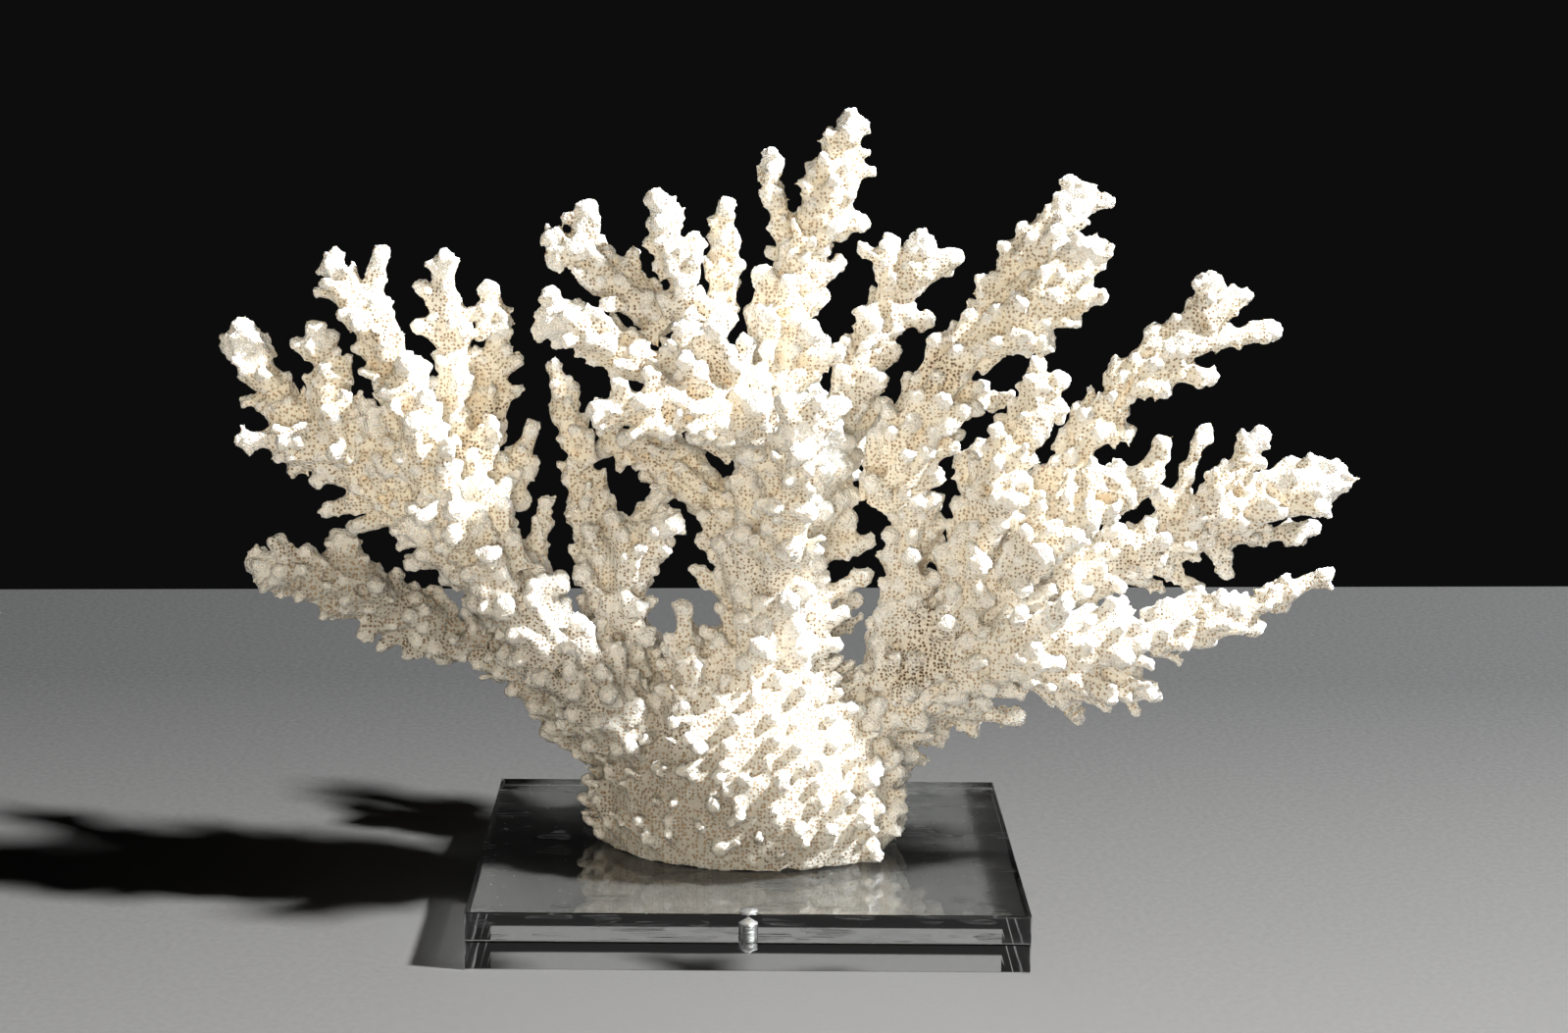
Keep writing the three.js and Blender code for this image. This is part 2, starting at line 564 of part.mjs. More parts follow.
      [22, 140, -48, 5], [6, 142, -54, 4.5], [14, 126, -46, 5]],
  },
  back_centre_limb: {
    against: ['centre_column', 'top_limb', 'rear_left_limb'],
    stems: [
      [[10, 104, 8, 12], [14, 128, 34, 12], [16, 152, 54, 10], [16, 174, 68, 8], [18, 196, 76, 5.5]],
      [[14, 136, 42, 8], [30, 156, 60, 6.5], [38, 176, 72, 5]],
    ],
    prongs: [[-8, 182, 70, 5], [8, 202, 80, 4], [26, 204, 78, 4], [20, 160, 78, 4.5],
      [34, 138, 56, 4.5], [2, 136, 56, 4.5], [44, 166, 66, 4], [-6, 170, 74, 4]],
  },
  back_right_limb: {
    against: ['right_limb', 'right_inner_branch', 'centre_column', 'back_centre_limb'],
    stems: [
      [[66, 86, 8, 13], [78, 104, 30, 11], [86, 124, 48, 9], [90, 146, 60, 6]],
      [[76, 100, 28, 8], [98, 112, 44, 7], [120, 122, 54, 5]],
    ],
    prongs: [[82, 156, 64, 4], [94, 134, 68, 4.5], [78, 118, 54, 4.5], [108, 106, 56, 4.5],
      [128, 118, 56, 4], [66, 98, 40, 4.5]],
  },
  back_left_limb: {
    against: ['coral_foot', 'inner_left_limb', 'left_limb', 'lower_left_limb'],
    stems: [
      [[-18, 56, 18, 13], [-28, 72, 38, 12], [-38, 88, 56, 10], [-46, 108, 66, 7], [-50, 124, 72, 5]],
      [[-32, 78, 46, 8], [-52, 88, 56, 7], [-72, 98, 62, 5]],
    ],
    prongs: [[-44, 130, 72, 4], [-58, 100, 72, 4.5], [-30, 84, 66, 4.5], [-64, 104, 66, 4],
      [-38, 74, 60, 4.5], [-74, 90, 62, 4]],
  },
};

// Each limb's stems and prongs are joined in one body, and parted from its neighbours' bodies.
const bodies = {};
for (const [name, { against, stems, prongs, knobs = [] }] of Object.entries(LIMBS)) {
  const skins = stems.map(stemSkin);
  if (name === 'coral_foot') skins.unshift(footSkin());
  for (const prong of [...prongs, ...knobs.map(knobOnFront)]) drawOutProng(skins, prong);
  const joined = skins.map(solidOfSkin).reduce((body, solid) => body.add(solid));
  bodies[name] = against.map((neighbour) => bodies[neighbour])
    .reduce((body, neighbour) => body.subtract(swollen(neighbour)).subtract(neighbour), joined);
  addPiece(colony, name, bodies[name], CORAL);
}

export default mounted;
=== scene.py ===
import math
import random

import bmesh
import bpy
import numpy as np
from mathutils import Matrix, Vector


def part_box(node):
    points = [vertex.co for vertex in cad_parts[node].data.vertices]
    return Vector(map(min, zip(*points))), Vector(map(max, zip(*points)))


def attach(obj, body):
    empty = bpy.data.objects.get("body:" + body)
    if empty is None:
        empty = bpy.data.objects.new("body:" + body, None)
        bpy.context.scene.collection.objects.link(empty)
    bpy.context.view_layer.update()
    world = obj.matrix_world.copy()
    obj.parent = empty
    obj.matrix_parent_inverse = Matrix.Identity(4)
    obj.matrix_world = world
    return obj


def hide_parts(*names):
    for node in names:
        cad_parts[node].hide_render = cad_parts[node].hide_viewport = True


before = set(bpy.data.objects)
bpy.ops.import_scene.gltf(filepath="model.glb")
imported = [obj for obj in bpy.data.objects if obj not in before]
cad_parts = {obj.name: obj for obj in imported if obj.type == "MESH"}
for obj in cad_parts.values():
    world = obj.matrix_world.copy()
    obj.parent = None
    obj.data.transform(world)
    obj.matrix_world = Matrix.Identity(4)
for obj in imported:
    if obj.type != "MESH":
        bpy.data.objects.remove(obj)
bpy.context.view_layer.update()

# The camera stands in front of the colony, a little above its crown, and looks slightly
# down. Its place and lens give the plinth's corners the places they have in the view.
CAMERA_PLACE = (-0.00535, -0.96728, 0.34107)
CAMERA_LENS = 65.19
CAMERA_FILM = 36
CAMERA_HEADING, CAMERA_TILT, CAMERA_ROLL = (math.radians(a) for a in (0.9905, 11.812, 0.7268))
lens = bpy.data.cameras.new("camera")
lens.lens = CAMERA_LENS
lens.sensor_width = CAMERA_FILM
lens.clip_start = 0.05
camera = bpy.data.objects.new("camera", lens)
camera.matrix_world = (
    Matrix.Translation(CAMERA_PLACE)
    @ Matrix.Rotation(-CAMERA_HEADING, 4, "Z")
    @ Matrix.Rotation(math.pi / 2 - CAMERA_TILT, 4, "X")
    @ Matrix.Rotation(CAMERA_ROLL, 4, "Z")
)
bpy.context.collection.objects.link(camera)
bpy.context.scene.camera = camera
bpy.context.scene.view_settings.view_transform = "Standard"

# The table top is plain, pale and matt, in a finely mottled grey paint, with painted light:
# its colour is darker towards the back and lighter towards the front. It ends a little way
# behind the plinth, and the room behind it is dark.
TABLE_FAR_SHADED = (0.0628, 0.0612, 0.0611, 1)
TABLE_NEAR_LIT = (0.162, 0.1555, 0.1485, 1)
TABLE_WORN = (0.251, 0.241, 0.228, 1)
TABLE_DARKEST = 0.3
TABLE_BRIGHTEST = -0.2
TABLE_HEIGHT = -0.0001
TABLE_BACK_EDGE = 0.48
TABLE_TURN = math.radians(2.64)
TABLE_REACH = 3
MOTTLE_SCALE = 420
MOTTLE_SHARE = 0.08
ROOM_COLOUR = (0.004, 0.004, 0.0042, 1)


def placed(name, data):
    """A new object that holds the mesh or the lamp, linked into the scene."""
    piece = bpy.data.objects.new(name, data)
    bpy.context.collection.objects.link(piece)
    return piece


def mesh_of(bm, name):
    mesh = bpy.data.meshes.new(name)
    bm.to_mesh(mesh)
    bm.free()
    return mesh


def new_material(name):
    """A material, its shader, and the place on the piece that its patterns follow."""
    material = bpy.data.materials.new(name)
    material.use_nodes = True
    tree = material.node_tree
    where = node_in(tree, "ShaderNodeTexCoord").outputs["Object"]
    return material, tree.nodes["Principled BSDF"], where


def feed(node, inputs):
    """Links each input, by name or place, to another node's output, or sets its value."""
    for name, value in inputs.items():
        if isinstance(value, bpy.types.NodeSocket):
            node.id_data.links.new(value, node.inputs[name])
        else:
            node.inputs[name].default_value = value


def node_in(tree, kind, inputs=None, **settings):
    node = tree.nodes.new(kind)
    for name, value in settings.items():
        setattr(node, name, value)
    feed(node, inputs or {})
    return node


def axes_of(where):
    return node_in(where.id_data, "ShaderNodeSeparateXYZ", {0: where}).outputs


def blend_colour(share, first, second):
    """A mix of two colours. Inputs 6 and 7 and output 2 are the mix's colour sockets."""
    return node_in(share.id_data, "ShaderNodeMix", {0: share, 6: first, 7: second},
                   data_type="RGBA").outputs[2]


def maths(operation, *values, clamp=False):
    tree = next(v for v in values if isinstance(v, bpy.types.NodeSocket)).id_data
    return node_in(tree, "ShaderNodeMath", dict(enumerate(values)), operation=operation,
                   use_clamp=clamp).outputs[0]


def stretch(value, low, high, to_low=0.0, to_high=1.0, smooth=True):
    """The value carried from the range low to high to a new range, and held at its ends."""
    return node_in(value.id_data, "ShaderNodeMapRange", {
        "Value": value, "From Min": low, "From Max": high, "To Min": to_low, "To Max": to_high,
    }, interpolation_type="SMOOTHSTEP" if smooth else "LINEAR").outputs[0]


def noise_in(where, scale, detail=2.0, roughness=0.5):
    return node_in(where.id_data, "ShaderNodeTexNoise", {
        "Vector": where, "Scale": scale, "Detail": detail, "Roughness": roughness,
    }).outputs["Fac"]


def cells_in(where, size, randomness):
    """Distance from the middle of the nearest of many small cells, in cell sizes."""
    return node_in(where.id_data, "ShaderNodeTexVoronoi", {
        "Vector": where, "Scale": 1 / size, "Randomness": randomness,
    }, feature="F1").outputs["Distance"]


table = bmesh.new()
bmesh.ops.create_grid(table, x_segments=1, y_segments=1, size=TABLE_REACH)
bmesh.ops.translate(table, verts=table.verts, vec=(0, TABLE_BACK_EDGE - TABLE_REACH, TABLE_HEIGHT))
bmesh.ops.rotate(table, verts=table.verts, cent=(0, TABLE_BACK_EDGE, 0),
                 matrix=Matrix.Rotation(TABLE_TURN, 3, "Z"))
table_mesh = mesh_of(table, "table")
table_top = placed("table", table_mesh)
paint, shader, where = new_material("table_paint")
# Painted light: the table's colour runs from darker at the back to lighter at the front.
painted_light_falloff = stretch(axes_of(where)["Y"], TABLE_DARKEST, TABLE_BRIGHTEST, smooth=False)
board_with_painted_light = blend_colour(painted_light_falloff, TABLE_FAR_SHADED, TABLE_NEAR_LIT)
mottle = noise_in(where, MOTTLE_SCALE, 3, 0.6)
worn = stretch(mottle, 0.3, 0.8, 0, MOTTLE_SHARE)
feed(shader, {"Base Color": blend_colour(worn, board_with_painted_light, TABLE_WORN),
              "Roughness": stretch(mottle, 0.3, 0.7, 0.7, 0.85)})
table_mesh.materials.append(paint)

room = bpy.data.worlds.new("room")
room.use_nodes = True
room.node_tree.nodes["Background"].inputs["Color"].default_value = ROOM_COLOUR
bpy.context.scene.world = room


# Soft lamps: a key high on the right, and two weak warm ones, in front and behind, that open
# the colony's shade. The weak ones are flagged off the table, whose shadow stays dark.
lit_by_fills = bpy.data.collections.new("lit_by_fills")


def softbox(name, place_at, aim, across, power, colour):
    lamp = bpy.data.lights.new(name, "AREA")
    lamp.shape = "DISK"
    lamp.size = across
    lamp.energy = power
    lamp.color = colour
    light = placed(name, lamp)
    light.location = place_at
    light.rotation_euler = (Vector(aim) - Vector(place_at)).to_track_quat("-Z", "Y").to_euler()
    light.visible_camera = False
    return light


def fill(name, **settings):
    light = softbox(name, **settings)
    light.visible_glossy = False
    light.visible_transmission = False
    light.light_linking.receiver_collection = lit_by_fills


softbox("key", place_at=(2.11, -0.52, 2.33), aim=(0, 0, 0.13), across=0.26, power=330,
        colour=(0.955, 0.985, 1))
fill("front_fill", place_at=(-0.1, -1.0, 0.3), aim=(0, 0, 0.13), across=0.4, power=7.2,
     colour=(1, 0.89, 0.71))
fill("back_fill", place_at=(0.4, 1.5, 0.8), aim=(0, 0, 0.15), across=0.6, power=12.3,
     colour=(1, 0.92, 0.79))

# Plinth: two equal clear cast acrylic sheets lie one on the other. Their faces are polished,
# the saw's fine upright marks show at the two ends, and handling has scratched the top.
ARRIS = 0.00045
AIR_GAP = 0.00004
HOLE_SIDES = 48
DRILL_POINT = 0.0021
HOLE_CLEARANCE = 0.0003
PIN_RADIUS = 0.0029
PIN_BELOW = 0.0036
PIN_ABOVE = 0.0049
PIN_CENTRE = Vector((0, -0.067, 0.010))
ACRYLIC_TINT = (0.98, 0.982, 0.975, 1)
ACRYLIC_IOR = 1.49
ROUGH_POLISHED = 0.02
ROUGH_SCRATCH = 0.4
ROUGH_SAWN = 0.14
ROUGH_SPECK = 0.55
ROUGH_HOLE_WALL, ROUGH_HOLE_CONE = 0.12, 0.45
CONE_FROM, CONE_TO = 0.0043, 0.0046
SCRATCH_TURNS = ((0.55, -0.03), (-0.9, -0.04), (1.7, -0.03))
SCRATCH_LAY = (14, 300, 1)
SCRATCH_WIDTH = 0.013
SAW_TURN = (0.12, 0, 0)
SAW_LAY = (1, 300, 14)
SAW_WIDTH = 0.09
SAW_DEPTH = 0.16
DRILL_LAY = (30, 30, 1500)
DRILL_WIDTH = 0.15
EVERYWHERE = 0.5
SPECK_SPACING = 0.0045
SPECK_EDGE, SPECK_MIDDLE = 0.07, 0.03
CUT_DEPTH = 0.0001
CUT_STRENGTH = 0.6
LIGHT_THROUGH = (0.88, 0.885, 0.88, 1)
LIGHT_THROUGH_END = (0.07, 0.07, 0.07, 1)
END_LEAN = 0.5
END_CLEAR, END_SHADED = 0.061, 0.057


def finished(piece):
    """The piece's mesh, once its modifiers are applied."""
    bpy.context.view_layer.update()
    shaped = piece.evaluated_get(bpy.context.evaluated_depsgraph_get())
    mesh = bpy.data.meshes.new_from_object(shaped)
    piece.modifiers.clear()
    old, piece.data = piece.data, mesh
    bpy.data.meshes.remove(old)
    return mesh


def rounded(mesh):
    """Smooth shading, except across edges that are sharp on the real piece."""
    mesh.shade_smooth()
    mesh.set_sharp_from_angle(angle=math.radians(20))


def turned(profile, sides):
    """A closed shape turned about the pin's axis from pairs of radius and height."""
    bm = bmesh.new()
    corners = [bm.verts.new((radius, 0, height)) for radius, height in profile]
    edges = [bm.edges.new(pair) for pair in zip(corners, corners[1:])]
    bmesh.ops.spin(bm, geom=corners + edges, cent=(0, 0, 0), axis=(0, 0, 1),
                   angle=2 * math.pi, steps=sides, use_merge=True)
    bmesh.ops.remove_doubles(bm, verts=bm.verts, dist=1e-6)
    bmesh.ops.recalc_face_normals(bm, faces=bm.faces)
    bmesh.ops.translate(bm, verts=bm.verts, vec=PIN_CENTRE)
    return bm


def sheet(name, node, hole_profile):
    """One sheet with broken edges and its half of the blind hole."""
    low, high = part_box(node)
    high.z -= AIR_GAP
    bm = bmesh.new()
    bmesh.ops.create_cube(bm, size=1, matrix=Matrix.Translation((low + high) / 2)
                          @ Matrix.Diagonal((*(high - low), 1)))
    bmesh.ops.bevel(bm, geom=list(bm.edges), offset=ARRIS, segments=2, profile=0.5,
                    affect="EDGES", material=-1)
    slab = placed(name, mesh_of(bm, name))
    drill = placed("drill", mesh_of(turned(hole_profile, HOLE_SIDES), "drill"))
    bore = slab.modifiers.new("bore", "BOOLEAN")
    bore.operation = "DIFFERENCE"
    bore.solver = "EXACT"
    bore.object = drill
    mesh = finished(slab)
    rounded(mesh)
    bpy.data.objects.remove(drill)
    mesh.materials.clear()
    mesh.materials.append(acrylic)
    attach(slab, "root")
    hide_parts(node)


def scratch_group():
    """Thin lines that run one way, in patches. Patches is 0.5 for lines everywhere."""
    group = bpy.data.node_groups.new("scratches", "ShaderNodeTree")
    for name, kind in (("Vector", "Vector"), ("Turn", "Vector"), ("Stretch", "Vector"),
                       ("Width", "Float"), ("Patches", "Float")):
        group.interface.new_socket(name=name, in_out="INPUT", socket_type="NodeSocket" + kind)
    group.interface.new_socket(name="Mask", in_out="OUTPUT", socket_type="NodeSocketFloat")
    given = node_in(group, "NodeGroupInput").outputs
    laid = node_in(group, "ShaderNodeMapping", {
        "Vector": given["Vector"], "Rotation": given["Turn"], "Scale": given["Stretch"]})
    ripple = noise_in(laid.outputs[0], 1, 1)
    off_line = maths("ABSOLUTE", maths("SUBTRACT", ripple, 0.5))
    line = stretch(maths("DIVIDE", off_line, given["Width"]), 1, 0)
    worn = maths("ADD", noise_in(given["Vector"], 55, 1), given["Patches"])
    mask = maths("MULTIPLY", line, stretch(worn, 0.5, 0.62))
    node_in(group, "NodeGroupOutput", {"Mask": mask})
    return group


def scratched(where, turn, lay, width, patches=EVERYWHERE):
    """Where the lines run: turned, and stretched by the lay, which is small along them."""
    node = node_in(where.id_data, "ShaderNodeGroup", node_tree=scratches)
    feed(node, {"Vector": where, "Turn": turn, "Stretch": lay, "Width": width,
                "Patches": patches})
    return node.outputs["Mask"]


def from_axis(where):
    """Distance from the pin's upright axis, in metres."""
    tree = where.id_data
    centred = node_in(tree, "ShaderNodeMapping", {"Vector": where, "Location": -PIN_CENTRE})
    flat = node_in(tree, "ShaderNodeVectorMath", {0: centred.outputs[0], 1: (1, 1, 0)},
                   operation="MULTIPLY")
    return node_in(tree, "ShaderNodeVectorMath", {0: flat.outputs[0]},
                   operation="LENGTH").outputs["Value"]


def bumped(shader, height, distance, strength=1.0, invert=False):
    bump = node_in(shader.id_data, "ShaderNodeBump", {
        "Strength": strength, "Distance": distance, "Height": height}, invert=invert)
    feed(shader, {"Normal": bump.outputs["Normal"]})


scratches = scratch_group()
hole = PIN_RADIUS + HOLE_CLEARANCE
low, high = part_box("lower_sheet")[0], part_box("upper_sheet")[1]
acrylic, shader, where = new_material("clear_acrylic")
axes = axes_of(where)
shader.inputs["Base Color"].default_value = ACRYLIC_TINT
shader.inputs["Transmission Weight"].default_value = 1
shader.inputs["IOR"].default_value = ACRYLIC_IOR
handled = None
for turn, patches in SCRATCH_TURNS:
    lines = scratched(where, (0, 0, turn), SCRATCH_LAY, SCRATCH_WIDTH, patches)
    handled = lines if handled is None else maths("MAXIMUM", handled, lines)
on_top = stretch(axes["Z"], high.z - 0.0006, high.z - 0.0003)
handled = maths("MULTIPLY", handled, on_top)
specks = stretch(cells_in(where, SPECK_SPACING, 1), SPECK_EDGE, SPECK_MIDDLE)
specks = maths("MULTIPLY", specks, on_top)
at_end = stretch(maths("ABSOLUTE", axes["X"]), high.x - 0.0004, high.x - 0.0001)
sawn = maths("MULTIPLY", scratched(where, SAW_TURN, SAW_LAY, SAW_WIDTH), at_end)
within = stretch(from_axis(where), hole * 1.1, hole * 1.03)
below_top = stretch(axes["Z"], high.z - 0.001, high.z - 0.0013)
above_floor = stretch(axes["Z"], low.z + 0.001, low.z + 0.0013)
drilled = maths("MULTIPLY", within, maths("MULTIPLY", below_top, above_floor))
pin_middle = PIN_CENTRE.z + (PIN_ABOVE - PIN_BELOW) / 2
from_middle = maths("ABSOLUTE", maths("SUBTRACT", axes["Z"], pin_middle))
frosting = stretch(from_middle, CONE_FROM, CONE_TO, ROUGH_HOLE_WALL, ROUGH_HOLE_CONE)
drill_lines = scratched(where, (0, 0, 0), DRILL_LAY, DRILL_WIDTH)
rough = maths("MAXIMUM", maths("MULTIPLY", handled, ROUGH_SCRATCH),
              maths("MULTIPLY", sawn, ROUGH_SAWN))
rough = maths("MAXIMUM", rough, maths("MULTIPLY", specks, ROUGH_SPECK))
rough = maths("MAXIMUM", rough, maths("MULTIPLY", drilled, frosting))
feed(shader, {"Roughness": maths("ADD", rough, ROUGH_POLISHED)})
cut = maths("ADD", maths("MULTIPLY_ADD", sawn, SAW_DEPTH, handled),
            maths("MULTIPLY", drill_lines, drilled))
bumped(shader, cut, CUT_DEPTH, CUT_STRENGTH, invert=True)

# Light on its way to the table or the coral passes straight through the sheets, a little
# dimmed. The sawn ends stop most of it: the left one all over, the right one low down.
tree = acrylic.node_tree
rays = node_in(tree, "ShaderNodeLightPath").outputs
leaned = maths("MULTIPLY_ADD", axes["X"], END_LEAN, axes["Z"])
shading_end = maths("MULTIPLY", at_end, stretch(leaned, END_CLEAR, END_SHADED))
through = node_in(tree, "ShaderNodeBsdfTransparent", {
    "Color": blend_colour(shading_end, LIGHT_THROUGH, LIGHT_THROUGH_END)})
pass_light = node_in(tree, "ShaderNodeMixShader", {
    0: maths("MAXIMUM", rays["Is Shadow Ray"], rays["Is Diffuse Ray"]),
    1: shader.outputs["BSDF"], 2: through.outputs["BSDF"]})
feed(tree.nodes["Material Output"], {"Surface": pass_light.outputs["Shader"]})

# The drill goes in a little past the pin at each end, and its point leaves a cone. The
# profiles also run a millimetre out of the sheet's face, so that the hole is open there.
depth_below = PIN_BELOW + HOLE_CLEARANCE
depth_above = PIN_ABOVE + HOLE_CLEARANCE
sheet("lower_sheet_clear", "lower_sheet",
      [(0, -depth_below - DRILL_POINT), (hole, -depth_below), (hole, 0.001), (0, 0.001)])
sheet("upper_sheet_clear", "upper_sheet",
      [(0, -0.001), (hole, -0.001), (hole, depth_above), (0, depth_above + DRILL_POINT)])

# Locating pin: a short turned steel dowel with chamfered ends, pressed upright into the
# blind holes that are drilled in both sheets, close behind the middle of the front face.
PIN_CHAMFER = 0.0005
STEEL_BRIGHT = (0.74, 0.74, 0.75, 1)
STEEL_DULL = (0.58, 0.575, 0.57, 1)
STEEL_LINE = (0.2, 0.195, 0.19, 1)
PIN_LAY = (40, 40, 1500)
PIN_LINE_WIDTH = 0.13
PIN_LINE_DEPTH = 0.00008
steel, shader, where = new_material("pin_steel")
shader.inputs["Metallic"].default_value = 1
lines = scratched(where, (0, 0, 0), PIN_LAY, PIN_LINE_WIDTH)
dulled = noise_in(where, 700, 3, 0.6)
bright = blend_colour(stretch(dulled, 0.35, 0.7), STEEL_BRIGHT, STEEL_DULL)
feed(shader, {"Base Color": blend_colour(lines, bright, STEEL_LINE),
              "Roughness": stretch(maths("ADD", dulled, lines), 0.3, 1.4, 0.22, 0.5)})
bumped(shader, lines, PIN_LINE_DEPTH, invert=True)
pin_mesh = mesh_of(turned([
    (0, -PIN_BELOW), (PIN_RADIUS - PIN_CHAMFER, -PIN_BELOW), (PIN_RADIUS, PIN_CHAMFER - PIN_BELOW),
    (PIN_RADIUS, PIN_ABOVE - PIN_CHAMFER), (PIN_RADIUS - PIN_CHAMFER, PIN_ABOVE), (0, PIN_ABOVE),
], HOLE_SIDES), "locating_pin_turned")
rounded(pin_mesh)
pin_mesh.materials.append(steel)
pin = placed("locating_pin_turned", pin_mesh)
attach(pin, "root")
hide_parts("locating_pin")

# Coral foot: the broad sawn stump that the whole colony stands on, of the same bone-dry
# bleached coral. It is cut flat underneath and rests on the plinth, held by its own weight.
EYE = Vector((-0.005, -0.967, 0.341))
UP = Vector((0, 0, 1))
SPINE_STEP = 0.0025
STUMP_SIDES, STEM_SIDES, SHAFT_SIDES = 64, 14, 10
VOXEL = 0.001
STEM_SHARE = 0.5
TWIG_SHARE = 0.3
TWIG_THICK, TWIG_RANGE = 0.008, 0.005
SHAFT_RINGS = ((0, 1.9, 2.5), (0.3, 1.5, 1.7), (0.55, 1.2, 1.25), (0.78, 1.02, 1.04),
               (0.93, 0.95, 0.95), (1, 0.6, 0.6))
CROWNS = 6
CROWN_LEAST, CROWN_MOST = 0.8, 1.22
HEAD_CROWN = 0.72
HEAD_KNOB_SPACING = 0.0009
PRONG_SHARE = 0.72
PRONG_WARTS = 520
ROOT_DEPTH = 0.35
PITCH_LEAST, PITCH_BY_RADIUS = 0.0082, 0.19
KNOB_LEAST, KNOB_BY_RIM = 0.0013, 0.1
KNOB_SHORTEST, LENGTH_BY_RIM = 0.0016, 0.68
CREST_ROUNDS, CREST_RANGE = 6, 0.0018
RISE_ROUNDS, RISE_RANGE = 60, 0.008
TIP_INNER, TIP_OUTER = 0.7, 1.55
PATCH_INNER, PATCH_OUTER = 0.4, 1.0
TIP_LEVELS = 8
FOOT_TURN = math.radians(-9)
FOOT_MIDDLE = Vector((-0.001, 0.005, 0))
FOOT_UNDERSIDE = 0.02
FOOT_WIDE, FOOT_DEEP, FOOT_PROUD = 54, 38, 5
FOOT_ROWS = [(20, 52, 37), (24, 53, 37.5), (29, 54, 38), (39, 55, 38), (50, 52, 37), (61, 48, 34),
             (71, 42, 30), (81, 35, 25), (91, 27, 20), (97, 14, 11)]
FOOT_STEM = [(-20, 66, -14, 9), (-22, 84, -14, 7.5), (-23, 98, -13, 4.5), (-23, 109, -12, 3)]
FOOT_PRONGS = [
    (-59, 31, 4), (-55, 24, 3.5), (-33, 47, 3.5), (-18, 54, 3.5), (-11, 44, 3), (-13, 34, 3.5),
    (-17, 25, 3), (-8, 17, 3), (-3, 29, 3.5), (12, 41, 4), (30, 24, 3.5), (42, 28, 4.5),
    (36, 36, 4), (55, 33, 4.5), (54, 24, 4), (47, 15, 4), (44, 43, 4), (-46, 66, 4),
    (-28, 64, 4), (54, 52, 4), (-24, 46, 3.5), (4, 21, 3), (18, 24, 3), (-37, 58, 3.5),
]


def as_seen(x, z, back):
    """The point that far behind the upright plane through the origin, on the line from the
    eye to x, z on that plane. All three are in millimetres."""
    along = (back / 1000 - EYE.y) / -EYE.y
    return EYE.lerp(Vector((x / 1000, 0, z / 1000)), along)


def smooth_line(path):
    """Points every few millimetres along a stem, each with its across and depth radii."""
    spots = [np.array(as_seen(*point[:3])) for point in path]
    radii = [np.array((point[3], point[-1])) / 1000 for point in path]
    ends = [2 * spots[0] - spots[1], *spots, 2 * spots[-1] - spots[-2]]
    line = []
    for k in range(len(path) - 1):
        a, b, c, d = ends[k:k + 4]
        t0, t1, t2 = (math.sqrt(np.linalg.norm(q - p)) for p, q in ((a, b), (b, c), (c, d)))
        leave = ((b - a) / t0 - (c - a) / (t0 + t1) + (c - b) / t1) * t1
        arrive = ((c - b) / t1 - (d - b) / (t1 + t2) + (d - c) / t2) * t1
        steps = max(2, round(np.linalg.norm(c - b) / SPINE_STEP))
        for i in range(steps + (k == len(path) - 2)):
            t = i / steps
            spot = ((2 * t**3 - 3 * t**2 + 1) * b + (t**3 - 2 * t**2 + t) * leave
                    + (3 * t**2 - 2 * t**3) * c + (t**3 - t**2) * arrive)
            line.append((Vector(spot), *(radii[k] * (1 - t) + radii[k + 1] * t)))
    return line


def ring_frame(spot, along, across_radius, depth_radius):
    """The matrix that sets a unit circle square to a stem at one of its points."""
    reference = UP if abs(along.y) > 0.8 else Vector((0, 1, 0))
    across = along.cross(reference).normalized()
    depth = across.cross(along)
    columns = (across * across_radius, depth * depth_radius, along)
    return Matrix.Translation(spot) @ Matrix(columns).transposed().to_4x4()


def on_ring(frame_of_ring, angle):
    return frame_of_ring @ Vector((math.cos(angle), math.sin(angle), 0))


def tube(bm, frames, sides):
    """A closed tube through the ring frames, each ring extruded from the one before."""
    first = bmesh.ops.create_circle(bm, cap_ends=True, segments=sides, radius=1, matrix=frames[0])
    face = first["verts"][0].link_faces[0]
    for before, after in zip(frames, frames[1:]):
        extruded = bmesh.ops.extrude_face_region(bm, geom=[face])["geom"]
        face = next(g for g in extruded if isinstance(g, bmesh.types.BMFace))
        bmesh.ops.transform(bm, matrix=after @ before.inverted(), verts=face.verts)


def shaft_shape():
    """A knob's shaft along +Z: it tapers to about a unit's radius, and its root is drawn out
    along Y, which lies along the stem."""
    bm = bmesh.new()
    frames = [Matrix.Translation((0, 0, height)) @ Matrix.Diagonal((wide, deep, 1, 1))
              for height, wide, deep in SHAFT_RINGS]
    tube(bm, frames, SHAFT_SIDES)
    return mesh_of(bm, "shaft")


def crown_shape(rng):
    """A knob's lumpy crown, about a unit in radius."""
    bm = bmesh.new()
    bmesh.ops.create_icosphere(bm, subdivisions=2, radius=1)
    for corner in bm.verts:
        corner.co *= rng.uniform(CROWN_LEAST, CROWN_MOST)
    return mesh_of(bm, "crown")


shape_rng = random.Random(11)
shaft = shaft_shape()
crowns = [crown_shape(shape_rng) for _ in range(CROWNS)]


def put(bm, shape, matrix):
    """Adds a placed copy of a shape."""
    copy = shape.copy()
    copy.transform(matrix)
    bm.from_mesh(copy)
    bpy.data.meshes.remove(copy)


def put_crown(bm, at, radius, rng, turn=Matrix()):
    put(bm, rng.choice(crowns), Matrix.Translation(at) @ turn @ Matrix.Scale(radius, 4))


